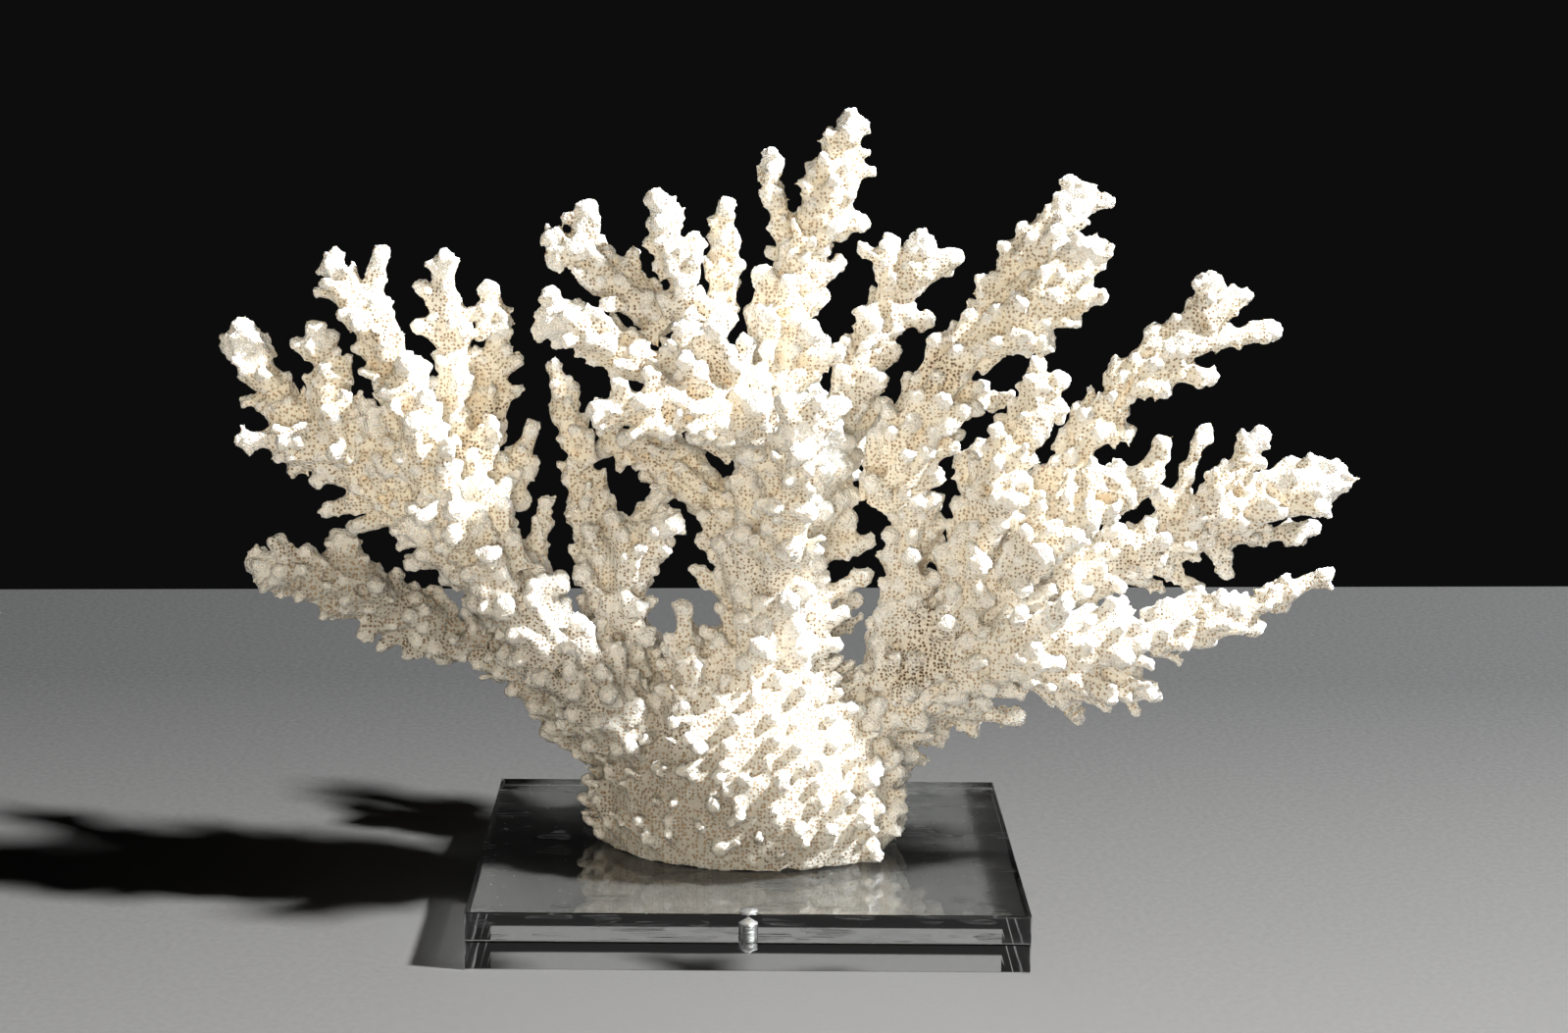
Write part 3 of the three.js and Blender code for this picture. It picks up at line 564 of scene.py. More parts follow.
def knob(bm, root, tip, radius, along, tips, rng):
    """A finger-like knob that leans off its stem, with a lumpy crown."""
    outward = tip - root
    length = outward.length
    outward.normalize()
    side = outward.cross(along)
    if side.length < 0.05:
        side = outward.orthogonal()
    side.normalize()
    up = side.cross(outward)
    flat = rng.uniform(0.8, 1.25)
    columns = Matrix((side * radius * flat, up * radius / flat, outward * (length - radius * 0.6)))
    put(bm, shaft, Matrix.Translation(root) @ columns.transposed().to_4x4())
    crown = tip - outward * radius * 0.9
    turn = Matrix((side, up, outward)).transposed().to_4x4() @ Matrix.Rotation(
        rng.uniform(0, 2 * math.pi), 4, "Z")
    put_crown(bm, crown, radius, rng, turn)
    tips.append((*crown, radius))


def core_share(radius):
    """The share of a stem's radius that its core fills: knobs make up the rest. A thin
    twig is mostly core."""
    return STEM_SHARE + TWIG_SHARE * max(0, min(1, (TWIG_THICK - radius) / TWIG_RANGE))


def stem(bm, line, tips, rng):
    """The stem itself, rounded over at its end, with a lumpy head."""
    spots = [spot for spot, _, _ in line]
    reach = [0]
    for p, q in zip(spots, spots[1:]):
        reach.append(reach[-1] + (q - p).length)
    end_radius = line[-1][1]
    frames = []
    for k, (spot, across_radius, depth_radius) in enumerate(line):
        along = (spots[min(k + 1, len(spots) - 1)] - spots[max(k - 1, 0)]).normalized()
        past = max(0, (reach[k] - reach[-1]) / end_radius + 1)
        rounding = core_share(across_radius) * math.sqrt(max(0.06, 1 - past * past))
        frames.append(ring_frame(spot, along, across_radius * rounding, depth_radius * rounding))
    core = bmesh.new()
    tube(core, frames, STEM_SIDES)
    put(bm, mesh_of(core, "stem"), Matrix())
    along = (spots[-1] - spots[-2]).normalized()
    head = spots[-1] - along * end_radius * 0.95
    turn = along.to_track_quat("Z", "Y").to_matrix().to_4x4()
    put_crown(bm, head, end_radius * HEAD_CROWN, rng, turn)
    for _ in range(round(end_radius / HEAD_KNOB_SPACING)):
        aside = Vector((rng.gauss(0, 1), rng.gauss(0, 1), rng.uniform(-0.4, 1.6)))
        aside = turn @ aside.normalized()
        knob(bm, head, head + aside * end_radius * rng.uniform(0.95, 1.12),
             rng.uniform(0.0012, 0.0021), along, tips, rng)
    tips.append((*head, end_radius * 1.05))


def nearest_on(lines, tip):
    """The stem point nearest a prong's tip: its line and its place along it."""
    gaps = [((spot - tip).length - radius, line, k)
            for line in lines for k, (spot, radius, _) in enumerate(line)]
    return min(gaps, key=lambda gap: gap[0])[1:]


def prong(bm, lines, tip, radius, tips, rng):
    """A prong with a given tip. It springs from a little lower down the nearest stem."""
    line, k = nearest_on(lines, tip)
    spot, stem_radius, _ = line[k]
    down = max(0, k - max(1, round(0.6 * (spot - tip).length / SPINE_STEP)))
    base = line[down][0]
    after = line[min(down + 1, len(line) - 1)][0]
    along = (after - line[max(0, down - 1)][0]).normalized()
    outward = (tip - base).normalized()
    root = base + outward * stem_radius * ROOT_DEPTH
    knob(bm, root, tip, radius, along, tips, rng)
    for _ in range(round((tip - root).length * PRONG_WARTS)):
        share = rng.uniform(0.25, 0.9)
        any_way = Vector((rng.gauss(0, 1), rng.gauss(0, 1), rng.gauss(0, 1)))
        aside = any_way.cross(outward).normalized()
        spot = root.lerp(tip, share) + aside * radius * (1.9 - share)
        crown = rng.choice(crowns)
        put(bm, crown, Matrix.Translation(spot) @ Matrix.Scale(rng.uniform(0.0008, 0.0017), 4))


def scatter_knobs(bm, line, tips, rng):
    """Smaller knobs all round a stem, which lean towards its tip, with a wart beside each."""
    travelled = 0.0
    row = 0
    to_go = sum((q[0] - p[0]).length for p, q in zip(line, line[1:]))
    for (spot, radius, depth_radius), (after, _, _) in zip(line, line[1:]):
        step = (after - spot).length
        travelled += step
        to_go -= step
        pitch = PITCH_LEAST + PITCH_BY_RADIUS * radius
        if travelled < pitch or to_go < 0.5 * radius:
            continue
        travelled -= pitch
        row += 1
        along = (after - spot).normalized()
        count = max(3, round(2 * math.pi * (max(radius, depth_radius) + 0.001) / pitch))
        square = ring_frame(Vector(), along, 1, 1)
        for k in range(count):
            angle = 2 * math.pi * (k + row / 2 + rng.uniform(-0.3, 0.3)) / count
            aside = on_ring(square, angle)
            rim = math.hypot(radius * math.cos(angle), depth_radius * math.sin(angle))
            size = (KNOB_LEAST + KNOB_BY_RIM * rim) * rng.uniform(0.75, 1.25)
            length = ((KNOB_SHORTEST + LENGTH_BY_RIM * rim) * rng.uniform(0.55, 1.2)
                      * min(1, 0.35 + rim / 0.012))
            low_end = spot + along * rng.uniform(-0.35, 0.35) * pitch
            lean = aside + along * rng.uniform(0.5, 1.2) * min(1, to_go / (2 * radius))
            tip = low_end + aside * rim * core_share(radius) + lean.normalized() * length
            root = low_end + aside * rim * 0.45 - along * length * ROOT_DEPTH
            knob(bm, root, tip, size, along, tips, rng)
            wart = rng.uniform(0.0007, 0.0015)
            angle += rng.uniform(-3.2, 3.2) / count
            aside = on_ring(square, angle)
            up_or_down = along * rng.uniform(-0.5, 0.5) * pitch
            put_crown(bm, spot + up_or_down + aside * rim * core_share(radius), wart, rng)


def smoothstep(low, high, value):
    share = np.clip((value - low) / (high - low), 0, 1)
    return share * share * (3 - 2 * share)


def vectors_of(mesh, name):
    """The corners' places, "co", or their normals, "normal", one in each row."""
    values = np.empty(len(mesh.vertices) * 3, np.float32)
    mesh.vertices.foreach_get(name, values)
    return values.reshape(-1, 3)


def nearness(corners, spots, inner, outer):
    """1 within the inner share of a spot's radius, 0 past its outer share."""
    best = np.full(len(corners), 1e9, np.float32)
    for x, y, z, radius in spots:
        away = np.linalg.norm(corners - np.array((x, y, z), np.float32), axis=1) / radius
        np.minimum(best, away, out=best)
    return 1 - smoothstep(inner, outer, best)


def stands_out(piece, rounds, reach):
    """How far each corner stands out of the skin round it: 0.5 is level, 1 the full reach."""
    calm = piece.modifiers.new("calm", "SMOOTH")
    calm.factor = 0.5
    calm.iterations = rounds
    bpy.context.view_layer.update()
    calmed = piece.evaluated_get(bpy.context.evaluated_depsgraph_get())
    shift = vectors_of(piece.data, "co") - vectors_of(calmed.data, "co")
    piece.modifiers.remove(calm)
    return np.clip(0.5 + (shift * vectors_of(piece.data, "normal")).sum(1) / reach, 0, 1)


def set_mask(mesh, name, values):
    mask = mesh.attributes.new(name, "FLOAT", "POINT")
    mask.data.foreach_set("value", values.astype(np.float32))


def drop_bubbles(mesh):
    """Deletes the tiny closed bubbles that the remesh leaves between crowded knobs."""
    bm = bmesh.new()
    bm.from_mesh(mesh)
    unmet = set(bm.verts)
    shells = []
    while unmet:
        waiting = [unmet.pop()]
        shell = []
        while waiting:
            corner = waiting.pop()
            shell.append(corner)
            for edge in corner.link_edges:
                other = edge.other_vert(corner)
                if other in unmet:
                    unmet.discard(other)
                    waiting.append(other)
        shells.append(shell)
    shells.sort(key=len)
    bubbles = [corner for shell in shells[:-1] for corner in shell]
    bmesh.ops.delete(bm, geom=bubbles, context="VERTS")
    bm.to_mesh(mesh)
    bm.free()


def lumps(name, size, depth):
    texture = bpy.data.textures.new(name, "CLOUDS")
    texture.noise_scale = size
    texture.noise_depth = depth
    return texture


# Broad swellings, ridges between the pores, and the loose grain of the crowns: each texture
# with how far it moves the skin, and the corners that it moves.
ROUGHENING = ((lumps("swell", 0.012, 1), 0.0030, ""), (lumps("ridges", 0.0036, 2), 0.0009, ""),
              (lumps("granules", 0.0018, 1), 0.0016, "tip"))


def grown(bm, node, tips, dark_patches=(), voxel=VOXEL):
    """The finished coral piece from its overlapping stems and knobs."""
    name = node + "_coral"
    piece = placed(name, mesh_of(bm, name))
    skin = piece.modifiers.new("skin", "REMESH")
    skin.mode = "VOXEL"
    skin.voxel_size = voxel
    soft = piece.modifiers.new("soft", "SMOOTH")
    soft.factor = 0.5
    soft.iterations = 2
    mesh = finished(piece)
    drop_bubbles(mesh)
    corners = vectors_of(mesh, "co")
    tip = nearness(corners, tips, TIP_INNER, TIP_OUTER)
    # Darker patches at the listed spots: wider and darker pores, less white and more tan.
    marks = [(*as_seen(x, z, back), radius / 1000) for x, z, back, radius in dark_patches]
    set_mask(mesh, "tip", tip)
    set_mask(mesh, "dark_patch", nearness(corners, marks, PATCH_INNER, PATCH_OUTER))
    group = piece.vertex_groups.new(name="tip")
    for level in range(1, TIP_LEVELS + 1):
        chosen = np.nonzero(np.round(tip * TIP_LEVELS) == level)[0]
        group.add(chosen.tolist(), level / TIP_LEVELS, "REPLACE")
    for texture, strength, only_on in ROUGHENING:
        shift = piece.modifiers.new("shift", "DISPLACE")
        shift.texture = texture
        shift.texture_coords = "LOCAL"
        shift.strength = strength
        shift.mid_level = 0.54
        shift.vertex_group = only_on
    mesh = finished(piece)
    set_mask(mesh, "crest", stands_out(piece, CREST_ROUNDS, CREST_RANGE))
    set_mask(mesh, "rise", stands_out(piece, RISE_ROUNDS, RISE_RANGE))
    mesh.shade_smooth()
    mesh.materials.append(dry_coral)
    lit_by_fills.objects.link(piece)
    piece.vertex_groups.clear()
    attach(piece, "root")
    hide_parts(node)
    return piece


def foot_frame(height, half_width, half_depth):
    middle = FOOT_MIDDLE + Vector((0, 0, height / 1000))
    return (Matrix.Translation(middle) @ Matrix.Rotation(FOOT_TURN, 4, "Z")
            @ Matrix.Diagonal((half_width / 1000, half_depth / 1000, 1, 1)))


def foot():
    rng = random.Random(1)
    bm = bmesh.new()
    tips = []
    stump = bmesh.new()
    tube(stump, [foot_frame(*row) for row in FOOT_ROWS], STUMP_SIDES)
    put(bm, mesh_of(stump, "stump"), Matrix())
    for row, height in enumerate(range(29, 94, 7)):
        at = next(k for k, r in enumerate(FOOT_ROWS) if r[0] >= height)
        (z0, w0, d0), (z1, w1, d1) = FOOT_ROWS[at - 1], FOOT_ROWS[at]
        t = (height - z0) / (z1 - z0)
        wide, deep = w0 + (w1 - w0) * t, d0 + (d1 - d0) * t
        around = foot_frame(height, wide, deep)
        count = round(math.pi * (wide + deep) / 9.5)
        for k in range(count):
            angle = 2 * math.pi * (k + row / 2 + rng.uniform(-0.3, 0.3)) / count
            edge = on_ring(around, angle)
            edge.z += rng.uniform(-0.0025, 0.0025)
            outward = edge - around.translation
            outward.z = 0
            outward.normalize()
            lean = (outward + UP * rng.uniform(0.2, 0.9)).normalized()
            length = rng.uniform(0.003, 0.0075)
            knob(bm, edge - outward * 0.003 - UP * length * ROOT_DEPTH, edge + lean * length,
                 rng.uniform(0.0014, 0.0024), UP, tips, rng)
    line = smooth_line(FOOT_STEM)
    stem(bm, line, tips, rng)
    scatter_knobs(bm, line, tips, rng)
    for x, z, radius in FOOT_PRONGS:
        share = max(-1, min(1, (x + 1) / (FOOT_WIDE + FOOT_PROUD)))
        back = (5 + x * math.tan(FOOT_TURN)
                - (FOOT_DEEP + FOOT_PROUD) * math.sqrt(1 - share * share))
        tip = as_seen(x, z, back)
        inward = Vector((tip.x * 0.8, 0.005, tip.z - 0.006))
        root = tip.lerp(inward, min(1, 0.014 / (tip - inward).length))
        knob(bm, root, tip, radius / 1000 * 0.7, UP, tips, rng)
    piece = grown(bm, "coral_foot", tips)
    corners = vectors_of(piece.data, "co")
    corners[:, 2] = np.maximum(corners[:, 2], FOOT_UNDERSIDE)
    piece.data.vertices.foreach_set("co", corners.ravel())
    piece.data.update()


# Dry coral: chalk white on the crumbly crowns of the knobs, cream on the flanks between
# them, where round pores about a millimetre wide stand close together and show tan inside.
# The hollows between the knobs are painted tan, with darker pores, as painted shade. Some
# listed patches are darker, with wider and darker pores. The foot is greyer, and low down
# on the left, where a limb hangs, the skin is a darker grey: partly a grey crust, partly
# painted shade.
PORE_PITCH = 0.0013
PORE_SCATTER = 0.65
PORE_EDGE = (0.41, 0.31)
PORE_FLOOR = (0.38, 0.18)
PORES_GONE, PORES_FULL = 0.75, 0.3
DARK_PATCH_WIDENS_PORES = -0.07
GRAIN_SIZE = 0.00085
PATCH_SCALE, CLOUD_SCALE, GRIT_SCALE = 120, 28, 1100
PATCH_STRENGTH, GRIT_STRENGTH = 0.5, 0.9
CROWN_WHITE = (0.90, 0.89, 0.87, 1)
FLANK_CREAM = (0.87, 0.81, 0.69, 1)
FLANK_GREY = (0.76, 0.715, 0.635, 1)
FOOT_GREY = (0.75, 0.735, 0.70, 1)
FOOT_GREY_SHARE = 0.6
LOW_ABOVE, LOW_BELOW = 0.15, 0.11
HOLLOW_SHADE_TAN = (0.74, 0.62, 0.46, 1)
CRUST_AND_SHADE_GREY = (0.42, 0.40, 0.36, 1)
CRUST_AND_SHADE_SLOPE = 0.8
CRUST_AND_SHADE_NONE, CRUST_AND_SHADE_FULL = 0.105, 0.055
PORE_RIM = (0.68, 0.57, 0.43, 1)
PORE_TAN = (0.42, 0.30, 0.19, 1)
PORE_DARK = (0.11, 0.068, 0.038, 1)
CRUST_AND_SHADE_PORE = (0.17, 0.14, 0.10, 1)
RAISED = (0.53, 0.7)
CRESTED = (0.6, 0.88)
HOLLOW_SHADE_RANGE = (0.62, 0.42)
GREYED = (0.45, 0.62)
SKIN_ROUGHNESS = 0.85
SKIN_SPECULAR = 0.25
GLOW_WEIGHT = 0.5
GLOW_DEPTH = 0.0007
GLOW_COLOUR = (1.0, 0.62, 0.34)
RELIEF = 0.0007


dry_coral, shader, where = new_material("dry_coral")
tip_mask, dark_patch_mask, crest_mask, rise_mask = (
    node_in(dry_coral.node_tree, "ShaderNodeAttribute", attribute_name=name).outputs["Fac"]
    for name in ("tip", "dark_patch", "crest", "rise"))
from_pore = maths("MULTIPLY_ADD", dark_patch_mask, DARK_PATCH_WIDENS_PORES,
                  cells_in(where, PORE_PITCH, PORE_SCATTER))
grain = cells_in(where, GRAIN_SIZE, 1.0)
patches = noise_in(where, PATCH_SCALE, 2)
greyness = noise_in(where, CLOUD_SCALE, 2)
fine = noise_in(where, GRIT_SCALE, 3, 0.65)
open_pore = stretch(from_pore, *PORE_EDGE)
pore_middle = stretch(from_pore, *PORE_FLOOR)
gritty = maths("MULTIPLY_ADD", fine, GRIT_STRENGTH, -GRIT_STRENGTH / 2)
patchy = maths("MULTIPLY_ADD", patches, PATCH_STRENGTH, -PATCH_STRENGTH / 2)
patchy_rise = maths("ADD", rise_mask, patchy)
raised = maths("MULTIPLY", stretch(patchy_rise, *RAISED), 0.8)
white = maths("MAXIMUM", maths("MAXIMUM", raised, tip_mask), stretch(crest_mask, *CRESTED))
white = maths("MULTIPLY_ADD", dark_patch_mask, -0.3, white)
white = maths("ADD", white, gritty, clamp=True)
# Painted shade: where the skin stands out least, in the hollows, it is tinted tan and darker.
hollow_shade = stretch(maths("MULTIPLY_ADD", patches, 0.3, rise_mask), *HOLLOW_SHADE_RANGE)
hollow_shade = maths("MULTIPLY_ADD", dark_patch_mask, 0.45, hollow_shade, clamp=True)
pore = maths("MULTIPLY", open_pore, stretch(white, PORES_GONE, PORES_FULL))
# Pores are darker in the dark patches, and in the hollows as painted shade.
dark_patch_and_hollow_shade = maths("MAXIMUM", dark_patch_mask, maths("MULTIPLY", hollow_shade, 0.4))
dark = maths("MULTIPLY_ADD", stretch(greyness, 0.5, 0.62), 0.7, dark_patch_and_hollow_shade, clamp=True)
axes = axes_of(where)
# Low down and to the left the skin turns a darker grey: partly a grey crust, partly painted shade.
slanted = maths("MULTIPLY_ADD", axes["X"], CRUST_AND_SHADE_SLOPE, axes["Z"])
wavy = maths("MULTIPLY_ADD", greyness, 0.05, slanted)
low_down = stretch(axes["Z"], LOW_ABOVE, LOW_BELOW)
crust_and_shade = maths("MULTIPLY", stretch(wavy, CRUST_AND_SHADE_NONE, CRUST_AND_SHADE_FULL), low_down)
flank = blend_colour(stretch(greyness, *GREYED), FLANK_CREAM, FLANK_GREY)
flank = blend_colour(hollow_shade, flank, HOLLOW_SHADE_TAN)
flank = blend_colour(maths("MULTIPLY", low_down, FOOT_GREY_SHARE), flank, FOOT_GREY)
flank = blend_colour(crust_and_shade, flank, CRUST_AND_SHADE_GREY)
# The crowns are greyed there too, as painted shade.
white = maths("MULTIPLY", white, stretch(crust_and_shade, 0, 1, 1, 0.5))
skin_colour = blend_colour(white, flank, CROWN_WHITE)
pore_colour = blend_colour(pore_middle, blend_colour(crust_and_shade, PORE_RIM, CRUST_AND_SHADE_PORE),
                           blend_colour(dark, PORE_TAN, PORE_DARK))
shader.subsurface_method = "BURLEY"
feed(shader, {"Base Color": blend_colour(pore, skin_colour, pore_colour),
              "Roughness": SKIN_ROUGHNESS, "Specular IOR Level": SKIN_SPECULAR,
              "Subsurface Weight": GLOW_WEIGHT, "Subsurface Radius": GLOW_COLOUR,
              "Subsurface Scale": GLOW_DEPTH})
crumbs = maths("MULTIPLY", maths("SUBTRACT", 0.7, grain), maths("MULTIPLY_ADD", white, 0.9, 0.25))
bumped(shader, maths("SUBTRACT", maths("MULTIPLY_ADD", fine, 0.35, crumbs), pore), RELIEF)

foot()

# Left limb: the stout arm that leans out of the foot to the upper left and carries the
# whole left side. Bleached coral, grown in one with the foot; its knobs are thick and short.
def limb(node, seed, stems, prongs=(), dark_patches=(), voxel=VOXEL):
    """One limb of the colony, from the paths of its stems and the tips of its prongs: x and
    z as seen, how far back, and radius, in millimetres. An oval stem has its depth as well."""
    rng = random.Random(seed)
    bm = bmesh.new()
    tips = []
    lines = [smooth_line(path) for path in stems]
    for line in lines:
        stem(bm, line, tips, rng)
        scatter_knobs(bm, line, tips, rng)
    for x, z, back, radius in prongs:
        prong(bm, lines, as_seen(x, z, back), radius / 1000 * PRONG_SHARE, tips, rng)
    grown(bm, node, tips, dark_patches, voxel)


limb("left_limb", 2, stems=[
    [(-34, 54, -4, 17), (-52, 72, -9, 16), (-67, 88, -12, 16), (-80, 104, -15, 16),
     (-92, 122, -17, 15), (-104, 142, -18, 13), (-112, 154, -18, 10)],
    [(-84, 110, -14, 13), (-104, 128, -14, 12), (-124, 142, -14, 10)],
    [(-77, 112, -6, 5), (-74, 130, 0, 4), (-70, 146, 4, 3.5)],
], prongs=[
    (-64, 92, -32, 4), (-52, 84, -30, 4), (-50, 75, -30, 4), (-88, 104, -32, 4),
    (-97, 112, -30, 4), (-107, 118, -24, 3.5), (-114, 124, -22, 4), (-126, 131, -16, 3.5),
    (-66, 118, -22, 4.5), (-92, 126, -38, 5), (-106, 132, -36, 4.5), (-96, 98, -16, 3),
])

# Lower left limb: a long arm that reaches out low over the plinth's left end, a darker grey
# than the rest (partly a grey crust, partly painted shade), with a fringe of short knobs
# below. Grown out of the foot's left side.
limb("lower_left_limb", 3, stems=[
    [(-40, 46, 10, 11), (-58, 66, 12, 12), (-78, 84, 10, 11), (-100, 95, 7, 10),
     (-122, 104, 3, 9.5), (-142, 111, -1, 9), (-158, 117, -4, 8.5), (-177, 121, -6, 8)],
], prongs=[
    (-143, 133, 4, 8), (-165, 131, -6, 4), (-151, 100, -8, 3), (-138, 93, -6, 4),
    (-131, 89, 0, 3), (-123, 86, -2, 3.5), (-124, 120, 6, 2.8), (-112, 114, 8, 2.6),
    (-80, 72, 10, 4.5), (-74, 60, 10, 4.5), (-132, 114, -12, 4), (-120, 102, -10, 3.5),
    (-169, 111, -8, 4), (-90, 79, 6, 4), (-143, 107, -14, 3.5), (-158, 108, -8, 3),
    (-110, 86, 2, 4), (-155, 128, 2, 3),
])

# Left outer branch: the far left arm with its three blunt heads, very white and crumbly at
# the ends. Grown out of the left limb's outer end.
limb("left_outer_branch", 4, stems=[
    [(-116, 138, -14, 8), (-133, 153, -14, 10), (-148, 167, -14, 9.5), (-162, 178, -13, 8),
     (-169, 190, -13, 6.8), (-178, 203, -12, 8)],
    [(-136, 157, -16, 8), (-158, 163, -18, 8), (-179, 165, -20, 6)],
    [(-138, 160, -20, 9), (-145, 184, -20, 7.5), (-149, 196, -18, 6.5), (-150, 206, -18, 5.5)],
    [(-120, 148, -18, 9), (-129, 164, -18, 9), (-134, 179, -18, 7)],
], prongs=[
    (-183, 196, -12, 4), (-171, 206, -10, 4), (-176, 178, -12, 3.5), (-161, 153, -16, 3.5),
    (-152, 148, -18, 4), (-150, 138, -14, 3.5), (-140, 133, -12, 3.5), (-146, 160, -32, 4.5),
    (-155, 198, -20, 3), (-156, 187, -18, 2.5), (-165, 176, -18, 3),
])

# Left tall branch: rises from the left limb's end and leans a little left, with a thin side
# twig near its tip. Grown out of the left limb.
limb("left_tall_branch", 5, stems=[
    [(-108, 146, -20, 10), (-116, 168, -22, 10), (-123, 188, -20, 9), (-131, 204, -18, 9),
     (-140, 218, -17, 7), (-147, 230, -16, 6)],
    [(-130, 204, -16, 5), (-129, 218, -14, 3.5), (-127, 230, -14, 2.4)],
], prongs=[
    (-120, 194, -34, 4.5), (-128, 182, -32, 4), (-112, 182, -32, 4), (-145, 214, -16, 3),
    (-104, 164, -34, 4.5), (-118, 172, -36, 5), (-114, 194, -16, 5.5),
], dark_patches=[(-128, 204, -28, 10)])

# Left inner branch: an upright branch with two crowns and a short inner arm beside it.
# Grown out of the middle of the left limb.
limb("left_inner_branch", 6, stems=[
    [(-86, 118, -12, 9), (-94, 144, -9, 10), (-100, 170, -6, 9), (-103, 194, -6, 7.5),
     (-105, 214, -6, 5.5), (-106, 231, -6, 5)],
    [(-94, 158, -2, 8), (-90, 184, -2, 6.5), (-87, 209, -2, 5)],
    [(-92, 146, 2, 8), (-80, 160, 4, 6), (-75, 173, 4, 4)],
], prongs=[
    (-116, 219, -6, 3.5), (-91, 221, -6, 4), (-94, 212, -6, 5), (-117, 206, -8, 3),
    (-97, 205, -12, 3.5), (-79, 193, -2, 3.5), (-79, 183, -6, 3.5), (-77, 143, 4, 4.5),
    (-88, 172, -18, 4.5), (-95, 152, -24, 5), (-82, 203, -4, 3), (-74, 154, 2, 5),
], dark_patches=[(-89, 172, -10, 10), (-98, 160, -14, 9)])

# Left rear branch: leans back behind the left limb, and is seen from behind and above.
# Grown out of the left limb's back.
REAR_VOXEL = 0.00125
limb("left_rear_branch", 7, stems=[
    [(-88, 112, -4, 11), (-96, 134, 20, 10), (-104, 156, 38, 8), (-106, 180, 50, 5)],
], prongs=[
    (-122, 168, 44, 4), (-96, 168, 54, 4), (-110, 150, 56, 4), (-90, 146, 42, 4),
    (-112, 182, 56, 3), (-88, 132, 34, 4),
], voxel=REAR_VOXEL)

# Inner left limb: a slender limb between the left limb and the column, with a knobbly
# side arm towards the middle. Grown out of the foot.
limb("inner_left_limb", 8, stems=[
    [(-32, 64, 2, 12), (-44, 88, 5, 12), (-51, 108, 7, 11), (-53, 128, 9, 9.5),
     (-56, 148, 12, 7.5), (-62, 166, 14, 6.5), (-66, 182, 16, 4.5), (-69, 194, 17, 3)],
    [(-46, 104, 0, 10), (-41, 122, -6, 8), (-34, 133, -9, 7), (-23, 138, -13, 6)],
    [(-46, 112, 6, 8), (-38, 134, 8, 6.5), (-30, 150, 8, 5)],
], prongs=[
    (-61, 185, 14, 3), (-65, 141, 6, 4), (-50, 140, -8, 4.5), (-29, 126, -4, 3.5),
    (-35, 93, -14, 4.5), (-60, 120, -10, 4), (-38, 106, -18, 4.5), (-55, 168, 10, 4),
    (-57, 134, -8, 4.5),
])

# Centre column: the thickest upright stem, oval in section, with long prongs at its sides.
# Grown straight up out of the foot.
limb("centre_column", 9, stems=[
    [(6, 60, 0, 24, 20), (6, 84, 0, 22, 20), (8, 106, 0, 21, 19), (8, 126, 0, 20, 18),
     (12, 146, 0, 22, 19), (15, 166, 0, 23, 19), (14, 186, 0, 20, 17)],
], prongs=[
    (-16, 86, -12, 4), (-18, 99, -10, 4), (-22, 121, 2, 3.5), (-19, 141, 0, 4),
    (33, 82, -10, 4.5), (32, 94, -12, 4), (35, 106, -8, 4), (39, 111, 10, 3.5),
    (40, 104, 18, 2.6), (43, 120, -2, 4), (44, 131, 0, 4), (2, 94, -28, 4.5), (14, 110, -28, 5),
    (24, 128, -26, 4.5), (-4, 134, -26, 4.5), (22, 144, -30, 4.5), (4, 152, -28, 4.5),
    (-20, 132, 0, 4), (38, 147, -2, 5.5), (37, 139, 2, 5.5),
])

# Rear left limb: a short bowed arm behind the head's left side. Grown out of the column.
limb("rear_left_limb", 10, stems=[
    [(-2, 134, 6, 11), (-18, 149, 12, 9), (-32, 160, 18, 9.5), (-45, 165, 22, 8),
     (-56, 160, 26, 4)],
], prongs=[
    (-54, 169, 24, 4), (-30, 172, 34, 4), (-20, 166, 34, 5), (-42, 176, 40, 5),
])

# Centre head: the swollen mass in the middle that the upper branches fork from, with a
# shelf of knobs at its lower left. Grown on the column's top.
limb("centre_head", 11, stems=[
    [(2, 164, -6, 15), (-8, 180, -12, 18), (-18, 194, -14, 18), (-22, 208, -14, 13)],
    [(-2, 176, -20, 12), (-18, 177, -30, 10), (-36, 175, -36, 9), (-58, 176, -40, 6)],
], prongs=[
    (-48, 187, -40, 4), (-38, 191, -40, 4), (-26, 206, -36, 4), (-14, 206, -36, 4),
    (-25, 194, -42, 5), (-17, 167, -36, 3.5), (-11, 163, -32, 3.5), (1, 178, -36, 5),
    (-30, 167, -42, 3.5), (-6, 193, -36, 4),
], dark_patches=[(-8, 194, -28, 10)])

# Head's stub branch: a thick short arm to the left with a blunt white end. Grown out of
# the centre head.
limb("head_stub_branch", 12, stems=[
    [(-24, 189, -12, 9), (-44, 196, -12, 8.5), (-60, 204, -12, 9.5), (-75, 209, -12, 8)],
], prongs=[
    (-70, 218, -12, 4), (-76, 202, -12, 4), (-57, 191, -14, 3.5), (-62, 214, -12, 4),
])

# Head's left branch: forks in two near its end, one crown up and one to the left. Grown
# out of the centre head.
limb("head_left_branch", 13, stems=[
    [(-28, 204, -8, 9), (-43, 215, -4, 8.5), (-53, 226, -4, 7.5), (-57, 238, -4, 5),
     (-57, 249, -4, 4.5)],
    [(-46, 219, -4, 6), (-59, 231, -4, 6), (-73, 235, -4, 4)],
], prongs=[
    (-70, 226, -8, 4.5), (-66, 243, -4, 3), (-48, 232, -4, 3), (-40, 232, -4, 4),
    (-52, 212, -16, 4),
])

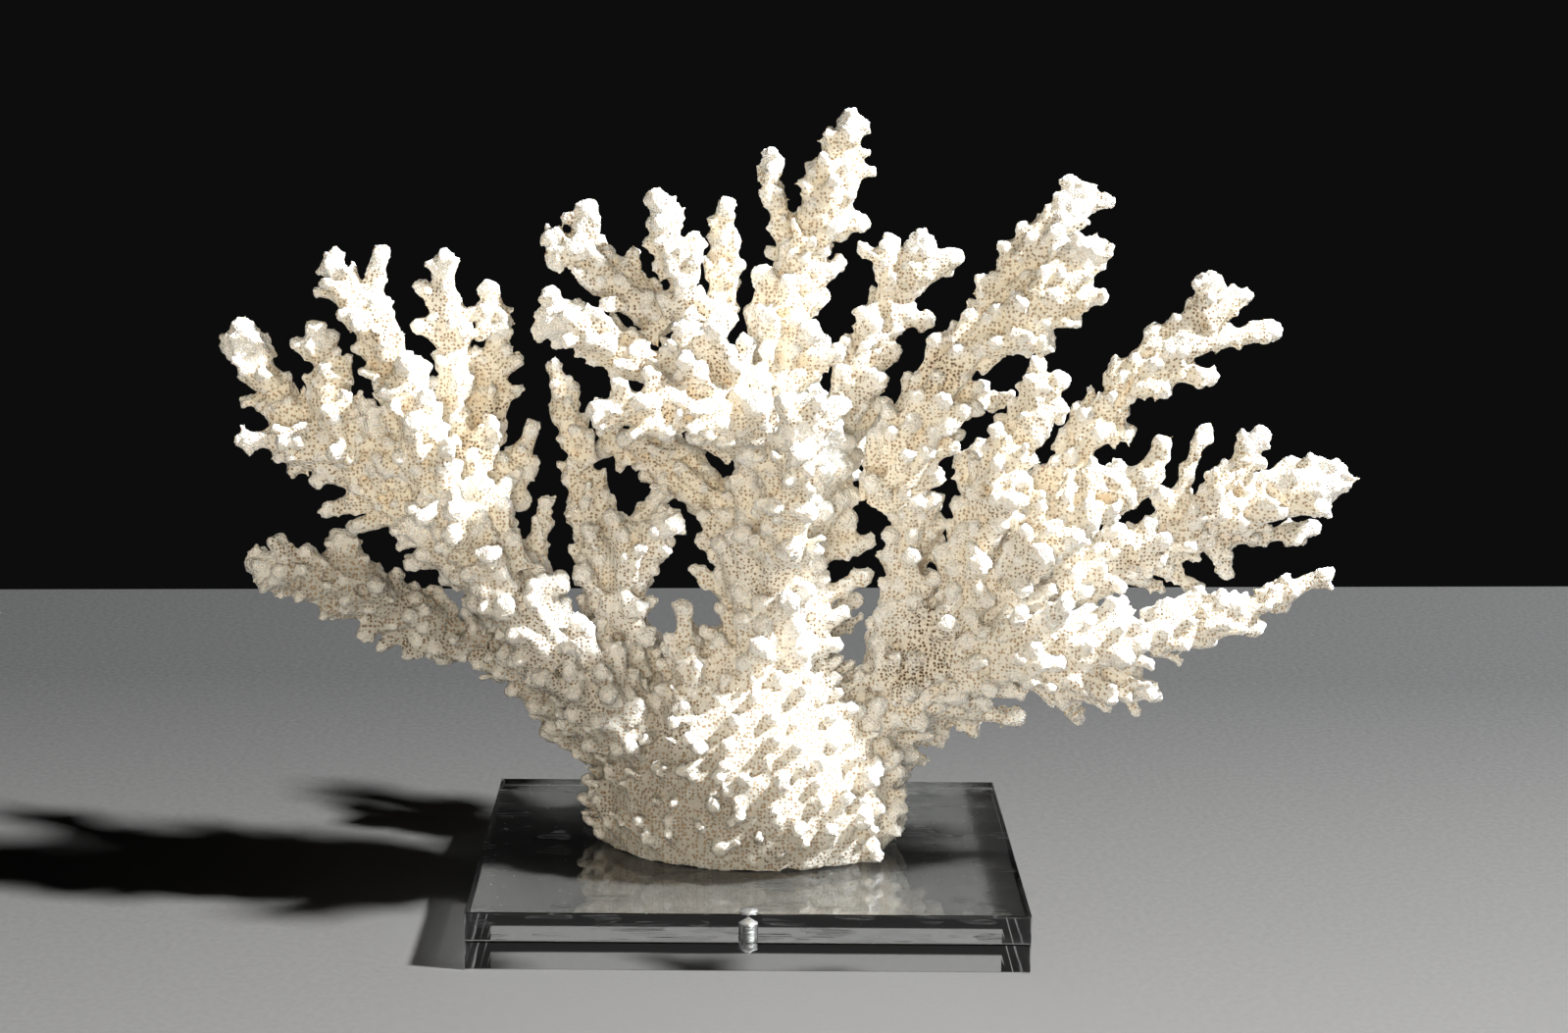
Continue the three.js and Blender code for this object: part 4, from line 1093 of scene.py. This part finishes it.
# Head's top branch: a crooked upright branch with a thinner one beside it. Grown out of
# the centre head.
limb("head_top_branch", 14, stems=[
    [(-22, 206, -12, 9), (-26, 222, -12, 8), (-29, 238, -12, 6.5), (-33, 252, -12, 6)],
    [(-16, 204, -6, 8), (-11, 222, 0, 6.5), (-10, 236, 2, 4.5), (-10, 249, 2, 3.2)],
], prongs=[
    (-24, 247, -12, 3.5), (-38, 235, -12, 3), (-17, 235, -12, 3.2), (-16, 243, 2, 3),
    (-4, 236, 0, 3.5),
])

# Top limb: the tallest branch, carried on from the column, with a second thinner stem at
# its left. Grown out of the head and the column.
limb("top_limb", 15, stems=[
    [(8, 184, 2, 14), (10, 204, 3, 12), (15, 222, 4, 10), (20, 238, 4, 9), (26, 254, 4, 8.5),
     (30, 268, 4, 7.5), (33, 281, 4, 6)],
    [(14, 224, 6, 6), (10, 240, 8, 5.5), (5, 254, 8, 5.5), (6, 267, 8, 4.5)],
], prongs=[
    (39, 275, 4, 3.5), (23, 271, 4, 3.5), (41, 260, 4, 2.6), (18, 261, 2, 3.5),
    (15, 256, -2, 3.5), (39, 242, 2, 4.5), (32, 228, 4, 3.5), (27, 216, 4, 3.2), (0, 226, 0, 5),
    (4, 212, -14, 4.5), (22, 206, -12, 5), (32, 198, -6, 4.5), (35, 255, 0, 3.5),
    (34, 249, 2, 4), (2, 247, 8, 4),
])

# Small right branch: a thin branch with two crowns, right of the top limb. Grown out of
# the column's right side.
limb("small_right_branch", 16, stems=[
    [(30, 168, 4, 11), (35, 186, 5, 10), (42, 204, 6, 7), (46, 220, 6, 4.5), (46, 237, 6, 3.6)],
    [(46, 210, 6, 6), (54, 226, 6, 4.6), (57, 240, 6, 4.8)],
], prongs=[
    (71, 231, 4, 5), (62, 235, 6, 3.5), (35, 234, 6, 3), (63, 207, 4, 3.8), (36, 212, 4, 4.5),
    (56, 212, 4, 5), (52, 198, 2, 3.5), (46, 188, -10, 4.5),
])

# Right limb: the stout arm that leans out of the foot to the upper right and carries the
# right side, with an upright stem beside the column. Its flanks show dark open pores.
limb("right_limb", 17, stems=[
    [(32, 56, 4, 18), (50, 74, 2, 17), (66, 92, 0, 17), (82, 106, -2, 16), (96, 120, -4, 13),
     (106, 132, -5, 10)],
    [(50, 78, 2, 14), (54, 100, 2, 12), (56, 118, 2, 11), (57, 136, 3, 10), (57, 150, 3, 9)],
], prongs=[
    (46, 93, -8, 4.5), (57, 146, -12, 5), (65, 146, -10, 5), (58, 110, -14, 4.5),
    (56, 126, -14, 4), (70, 102, -22, 5), (66, 118, -14, 4), (78, 86, -22, 5),
    (76, 74, -14, 4.5), (58, 76, -20, 4.5), (62, 64, -12, 4.5),
    (98, 66, 6, 5), (86, 71, -2, 4.5), (44, 105, -6, 5), (46, 114, 4, 3.5), (46, 127, -4, 4.5),
    (47, 134, -6, 4.5),
], dark_patches=[(56, 84, -14, 16), (68, 92, -16, 16), (62, 102, -12, 12)])

# Rear right stub: a short low arm behind the right limb, just above the plinth. Grown out
# of the foot.
limb("rear_right_stub", 18, stems=[
    [(34, 48, 12, 12), (50, 57, 17, 11), (61, 66, 20, 8), (70, 69, 21, 6), (80, 65, 20, 3.5)],
], prongs=[
    (70, 57, 22, 4), (64, 50, 20, 4), (58, 43, 16, 4), (75, 73, 20, 4), (84, 70, 24, 3.5),
    (80, 60, 22, 3.5),
])

# Upper right limb: a long straight limb up to the right with a second head in front of
# it. Grown out of the right limb's upright stem.
limb("upper_right_limb", 19, stems=[
    [(47, 141, -4, 10), (51, 158, -8, 14), (61, 176, -10, 13), (72, 194, -12, 11),
     (84, 211, -12, 9), (96, 232, -12, 8), (113, 253, -12, 7)],
    [(78, 200, -16, 9), (92, 210, -22, 9), (105, 222, -24, 8), (117, 238, -24, 6)],
], prongs=[
    (122, 216, -26, 5), (105, 200, -24, 6), (97, 199, -22, 5), (91, 182, -2, 4), (106, 259, -12, 4),
    (123, 250, -12, 3.5), (91, 243, -12, 3.5), (84, 236, -12, 3.5), (77, 224, -14, 3.5),
    (63, 203, -12, 4.5),
    (124, 234, -24, 3.5), (114, 207, -26, 4), (100, 203, -24, 4), (92, 197, -22, 4),
    (70, 172, -24, 5), (67, 155, -10, 4.5), (40, 152, -18, 5), (121, 227, -24, 3.5),
    (80, 178, -20, 4), (44, 172, -14, 4.5),
], dark_patches=[(64, 190, -20, 11)])

# Right inner branch: an upright branch that thins towards its tip, left of the long right
# one. Grown out of the right limb.
limb("right_inner_branch", 20, stems=[
    [(72, 100, -4, 13), (78, 120, -8, 12), (82, 138, -9, 11), (87, 154, -10, 10),
     (93, 168, -10, 8), (97, 182, -10, 5.5), (98, 196, -10, 3)],
    [(80, 144, -2, 5), (75, 157, 2, 4.5), (80, 167, 3, 3.5)],
], prongs=[
    (109, 189, -12, 4), (109, 179, -12, 4), (83, 172, -12, 4.5), (73, 135, -16, 5),
    (68, 130, -14, 4), (92, 146, -26, 5), (80, 124, -26, 5), (100, 160, -14, 4),
    (103, 170, -12, 4), (76, 150, -14, 4),
])

# Long right branch: a long bare arm up to the right that ends in three short fingers.
# Grown out of the right limb's end.
limb("long_right_branch", 21, stems=[
    [(88, 120, -2, 9), (97, 140, -1, 9), (107, 157, -1, 8), (118, 173, -2, 7.5),
     (130, 188, -3, 7.5), (143, 201, -4, 7), (154, 213, -4, 6), (157, 226, -4, 4.5)],
], prongs=[
    (172, 219, -6, 5), (181, 206, -4, 4.5), (161, 189, -6, 4.5), (138, 208, -4, 4),
    (125, 193, -2, 3.5), (134, 169, -4, 5.5), (131, 178, -4, 5), (112, 178, -2, 3.5),
    (145, 184, -8, 5), (146, 206, -4, 3),
])

# Right fan branch: two flattened arms that spread side by side. Grown out of the right
# limb's end, in front of the long branch.
limb("right_fan_branch", 22, stems=[
    [(91, 117, -13, 8), (100, 134, -17, 7.5), (113, 149, -18, 6), (131, 158, -18, 4.5)],
    [(94, 121, -15, 8.5), (107, 133, -18, 8), (122, 141, -20, 7), (134, 151, -20, 5.5),
     (144, 168, -20, 3)],
], prongs=[
    (104, 126, -34, 5), (116, 132, -30, 4.5), (121, 159, -18, 3.5), (96, 112, -30, 5),
    (143, 157, -20, 3),
])

# Right outer branch: the arm furthest right, with two upright twigs on it and a thin arm
# below. Grown out of the right limb's end.
limb("right_outer_branch", 23, stems=[
    [(94, 108, -2, 11), (112, 116, -4, 11), (128, 124, -5, 10), (146, 132, -6, 9),
     (164, 139, -7, 8.5), (184, 148, -8, 10.5), (198, 153, -8, 10), (209, 154, -8, 9)],
    [(150, 134, -10, 6), (163, 148, -12, 6.5), (171, 161, -12, 5.5), (178, 172, -12, 5)],
    [(154, 136, -2, 5), (176, 133, 1, 4.8), (199, 137, 1, 3.2)],
    [(138, 127, -2, 6), (148, 145, -4, 4.2), (153, 160, -4, 3), (158, 173, -4, 3.2)],
], prongs=[
    (207, 148, -8, 4.5), (206, 160, -8, 4.5), (203, 144, -8, 4), (199, 162, -8, 4),
    (202, 142, -10, 4),
    (161, 158, -12, 4), (127, 138, -8, 5.5), (141, 150, -8, 4), (168, 125, -6, 3),
    (159, 112, -4, 3.5), (146, 113, 2, 3.5), (178, 156, -10, 4), (168, 118, -4, 4),
])

# Lower right limb: a thick arm that leaves the right limb low down in front and tapers to
# a long thin point, with a second short arm below it.
limb("lower_right_limb", 24, stems=[
    [(72, 84, -11, 12), (90, 90, -17, 14), (110, 94, -20, 13), (130, 96, -20, 12),
     (147, 99, -20, 10), (166, 105, -20, 8), (184, 111, -20, 5.5), (205, 121, -20, 3.2)],
    [(94, 88, -20, 10), (120, 82, -22, 10), (146, 76, -22, 5)],
], prongs=[
    (180, 98, -22, 3.5), (117, 65, -6, 5), (128, 111, -26, 4.5), (112, 110, -34, 5),
    (96, 106, -34, 5), (100, 78, -34, 4.5), (122, 72, -22, 4.5), (134, 88, -36, 5),
    (166, 114, -22, 3.5),
    (188, 120, -20, 3), (182, 109, -20, 3.5), (172, 101, -24, 3.5), (148, 110, -22, 4.5),
    (187, 106, -20, 2),
])

# Front centre limb: leans forward out of the column, and is seen end on from the front.
# Grown out of the column's front.
limb("front_centre_limb", 25, stems=[
    [(11, 126, -16, 11), (12, 140, -34, 11), (14, 157, -48, 9.5), (16, 174, -58, 7)],
], prongs=[
    (-4, 162, -54, 5), (34, 180, -54, 5), (10, 182, -62, 4.5), (16, 160, -66, 5),
    (22, 140, -48, 5), (6, 142, -54, 4.5), (14, 126, -46, 5), (24, 182, -62, 4.5),
])

# Back centre limb: leans back from the column with a side stem, out of sight from the
# front. Grown out of the column's back.
limb("back_centre_limb", 26, stems=[
    [(10, 104, 8, 12), (14, 128, 34, 12), (16, 152, 54, 10), (16, 174, 68, 8),
     (18, 196, 76, 5.5)],
    [(14, 136, 42, 8), (30, 156, 60, 6.5), (38, 176, 72, 5)],
], prongs=[
    (-8, 182, 70, 5), (8, 202, 80, 4), (26, 204, 78, 4), (20, 160, 78, 4.5), (34, 138, 56, 4.5),
    (2, 136, 56, 4.5), (44, 166, 66, 4), (-6, 170, 74, 4),
], voxel=REAR_VOXEL)

# Back right limb: leans back behind the right limb with a side stem. Grown out of the
# right limb's back.
limb("back_right_limb", 27, stems=[
    [(66, 86, 8, 13), (78, 104, 30, 11), (86, 124, 48, 9), (90, 146, 60, 6)],
    [(76, 100, 28, 8), (98, 112, 44, 7), (120, 122, 54, 5)],
], prongs=[
    (82, 156, 64, 4), (94, 134, 68, 4.5), (78, 118, 54, 4.5), (108, 106, 56, 4.5),
    (128, 118, 56, 4), (66, 98, 40, 4.5),
], voxel=REAR_VOXEL)

# Back left limb: leans back low behind the left side with a side stem. Grown out of the
# foot's back.
limb("back_left_limb", 28, stems=[
    [(-18, 56, 18, 13), (-28, 72, 38, 12), (-38, 88, 56, 10), (-46, 108, 66, 7),
     (-50, 124, 72, 5)],
    [(-32, 78, 46, 8), (-52, 88, 56, 7), (-72, 98, 62, 5)],
], prongs=[
    (-44, 130, 72, 4), (-58, 100, 72, 4.5), (-30, 84, 66, 4.5), (-64, 104, 66, 4),
    (-38, 74, 60, 4.5), (-74, 90, 62, 4),
], voxel=REAR_VOXEL)
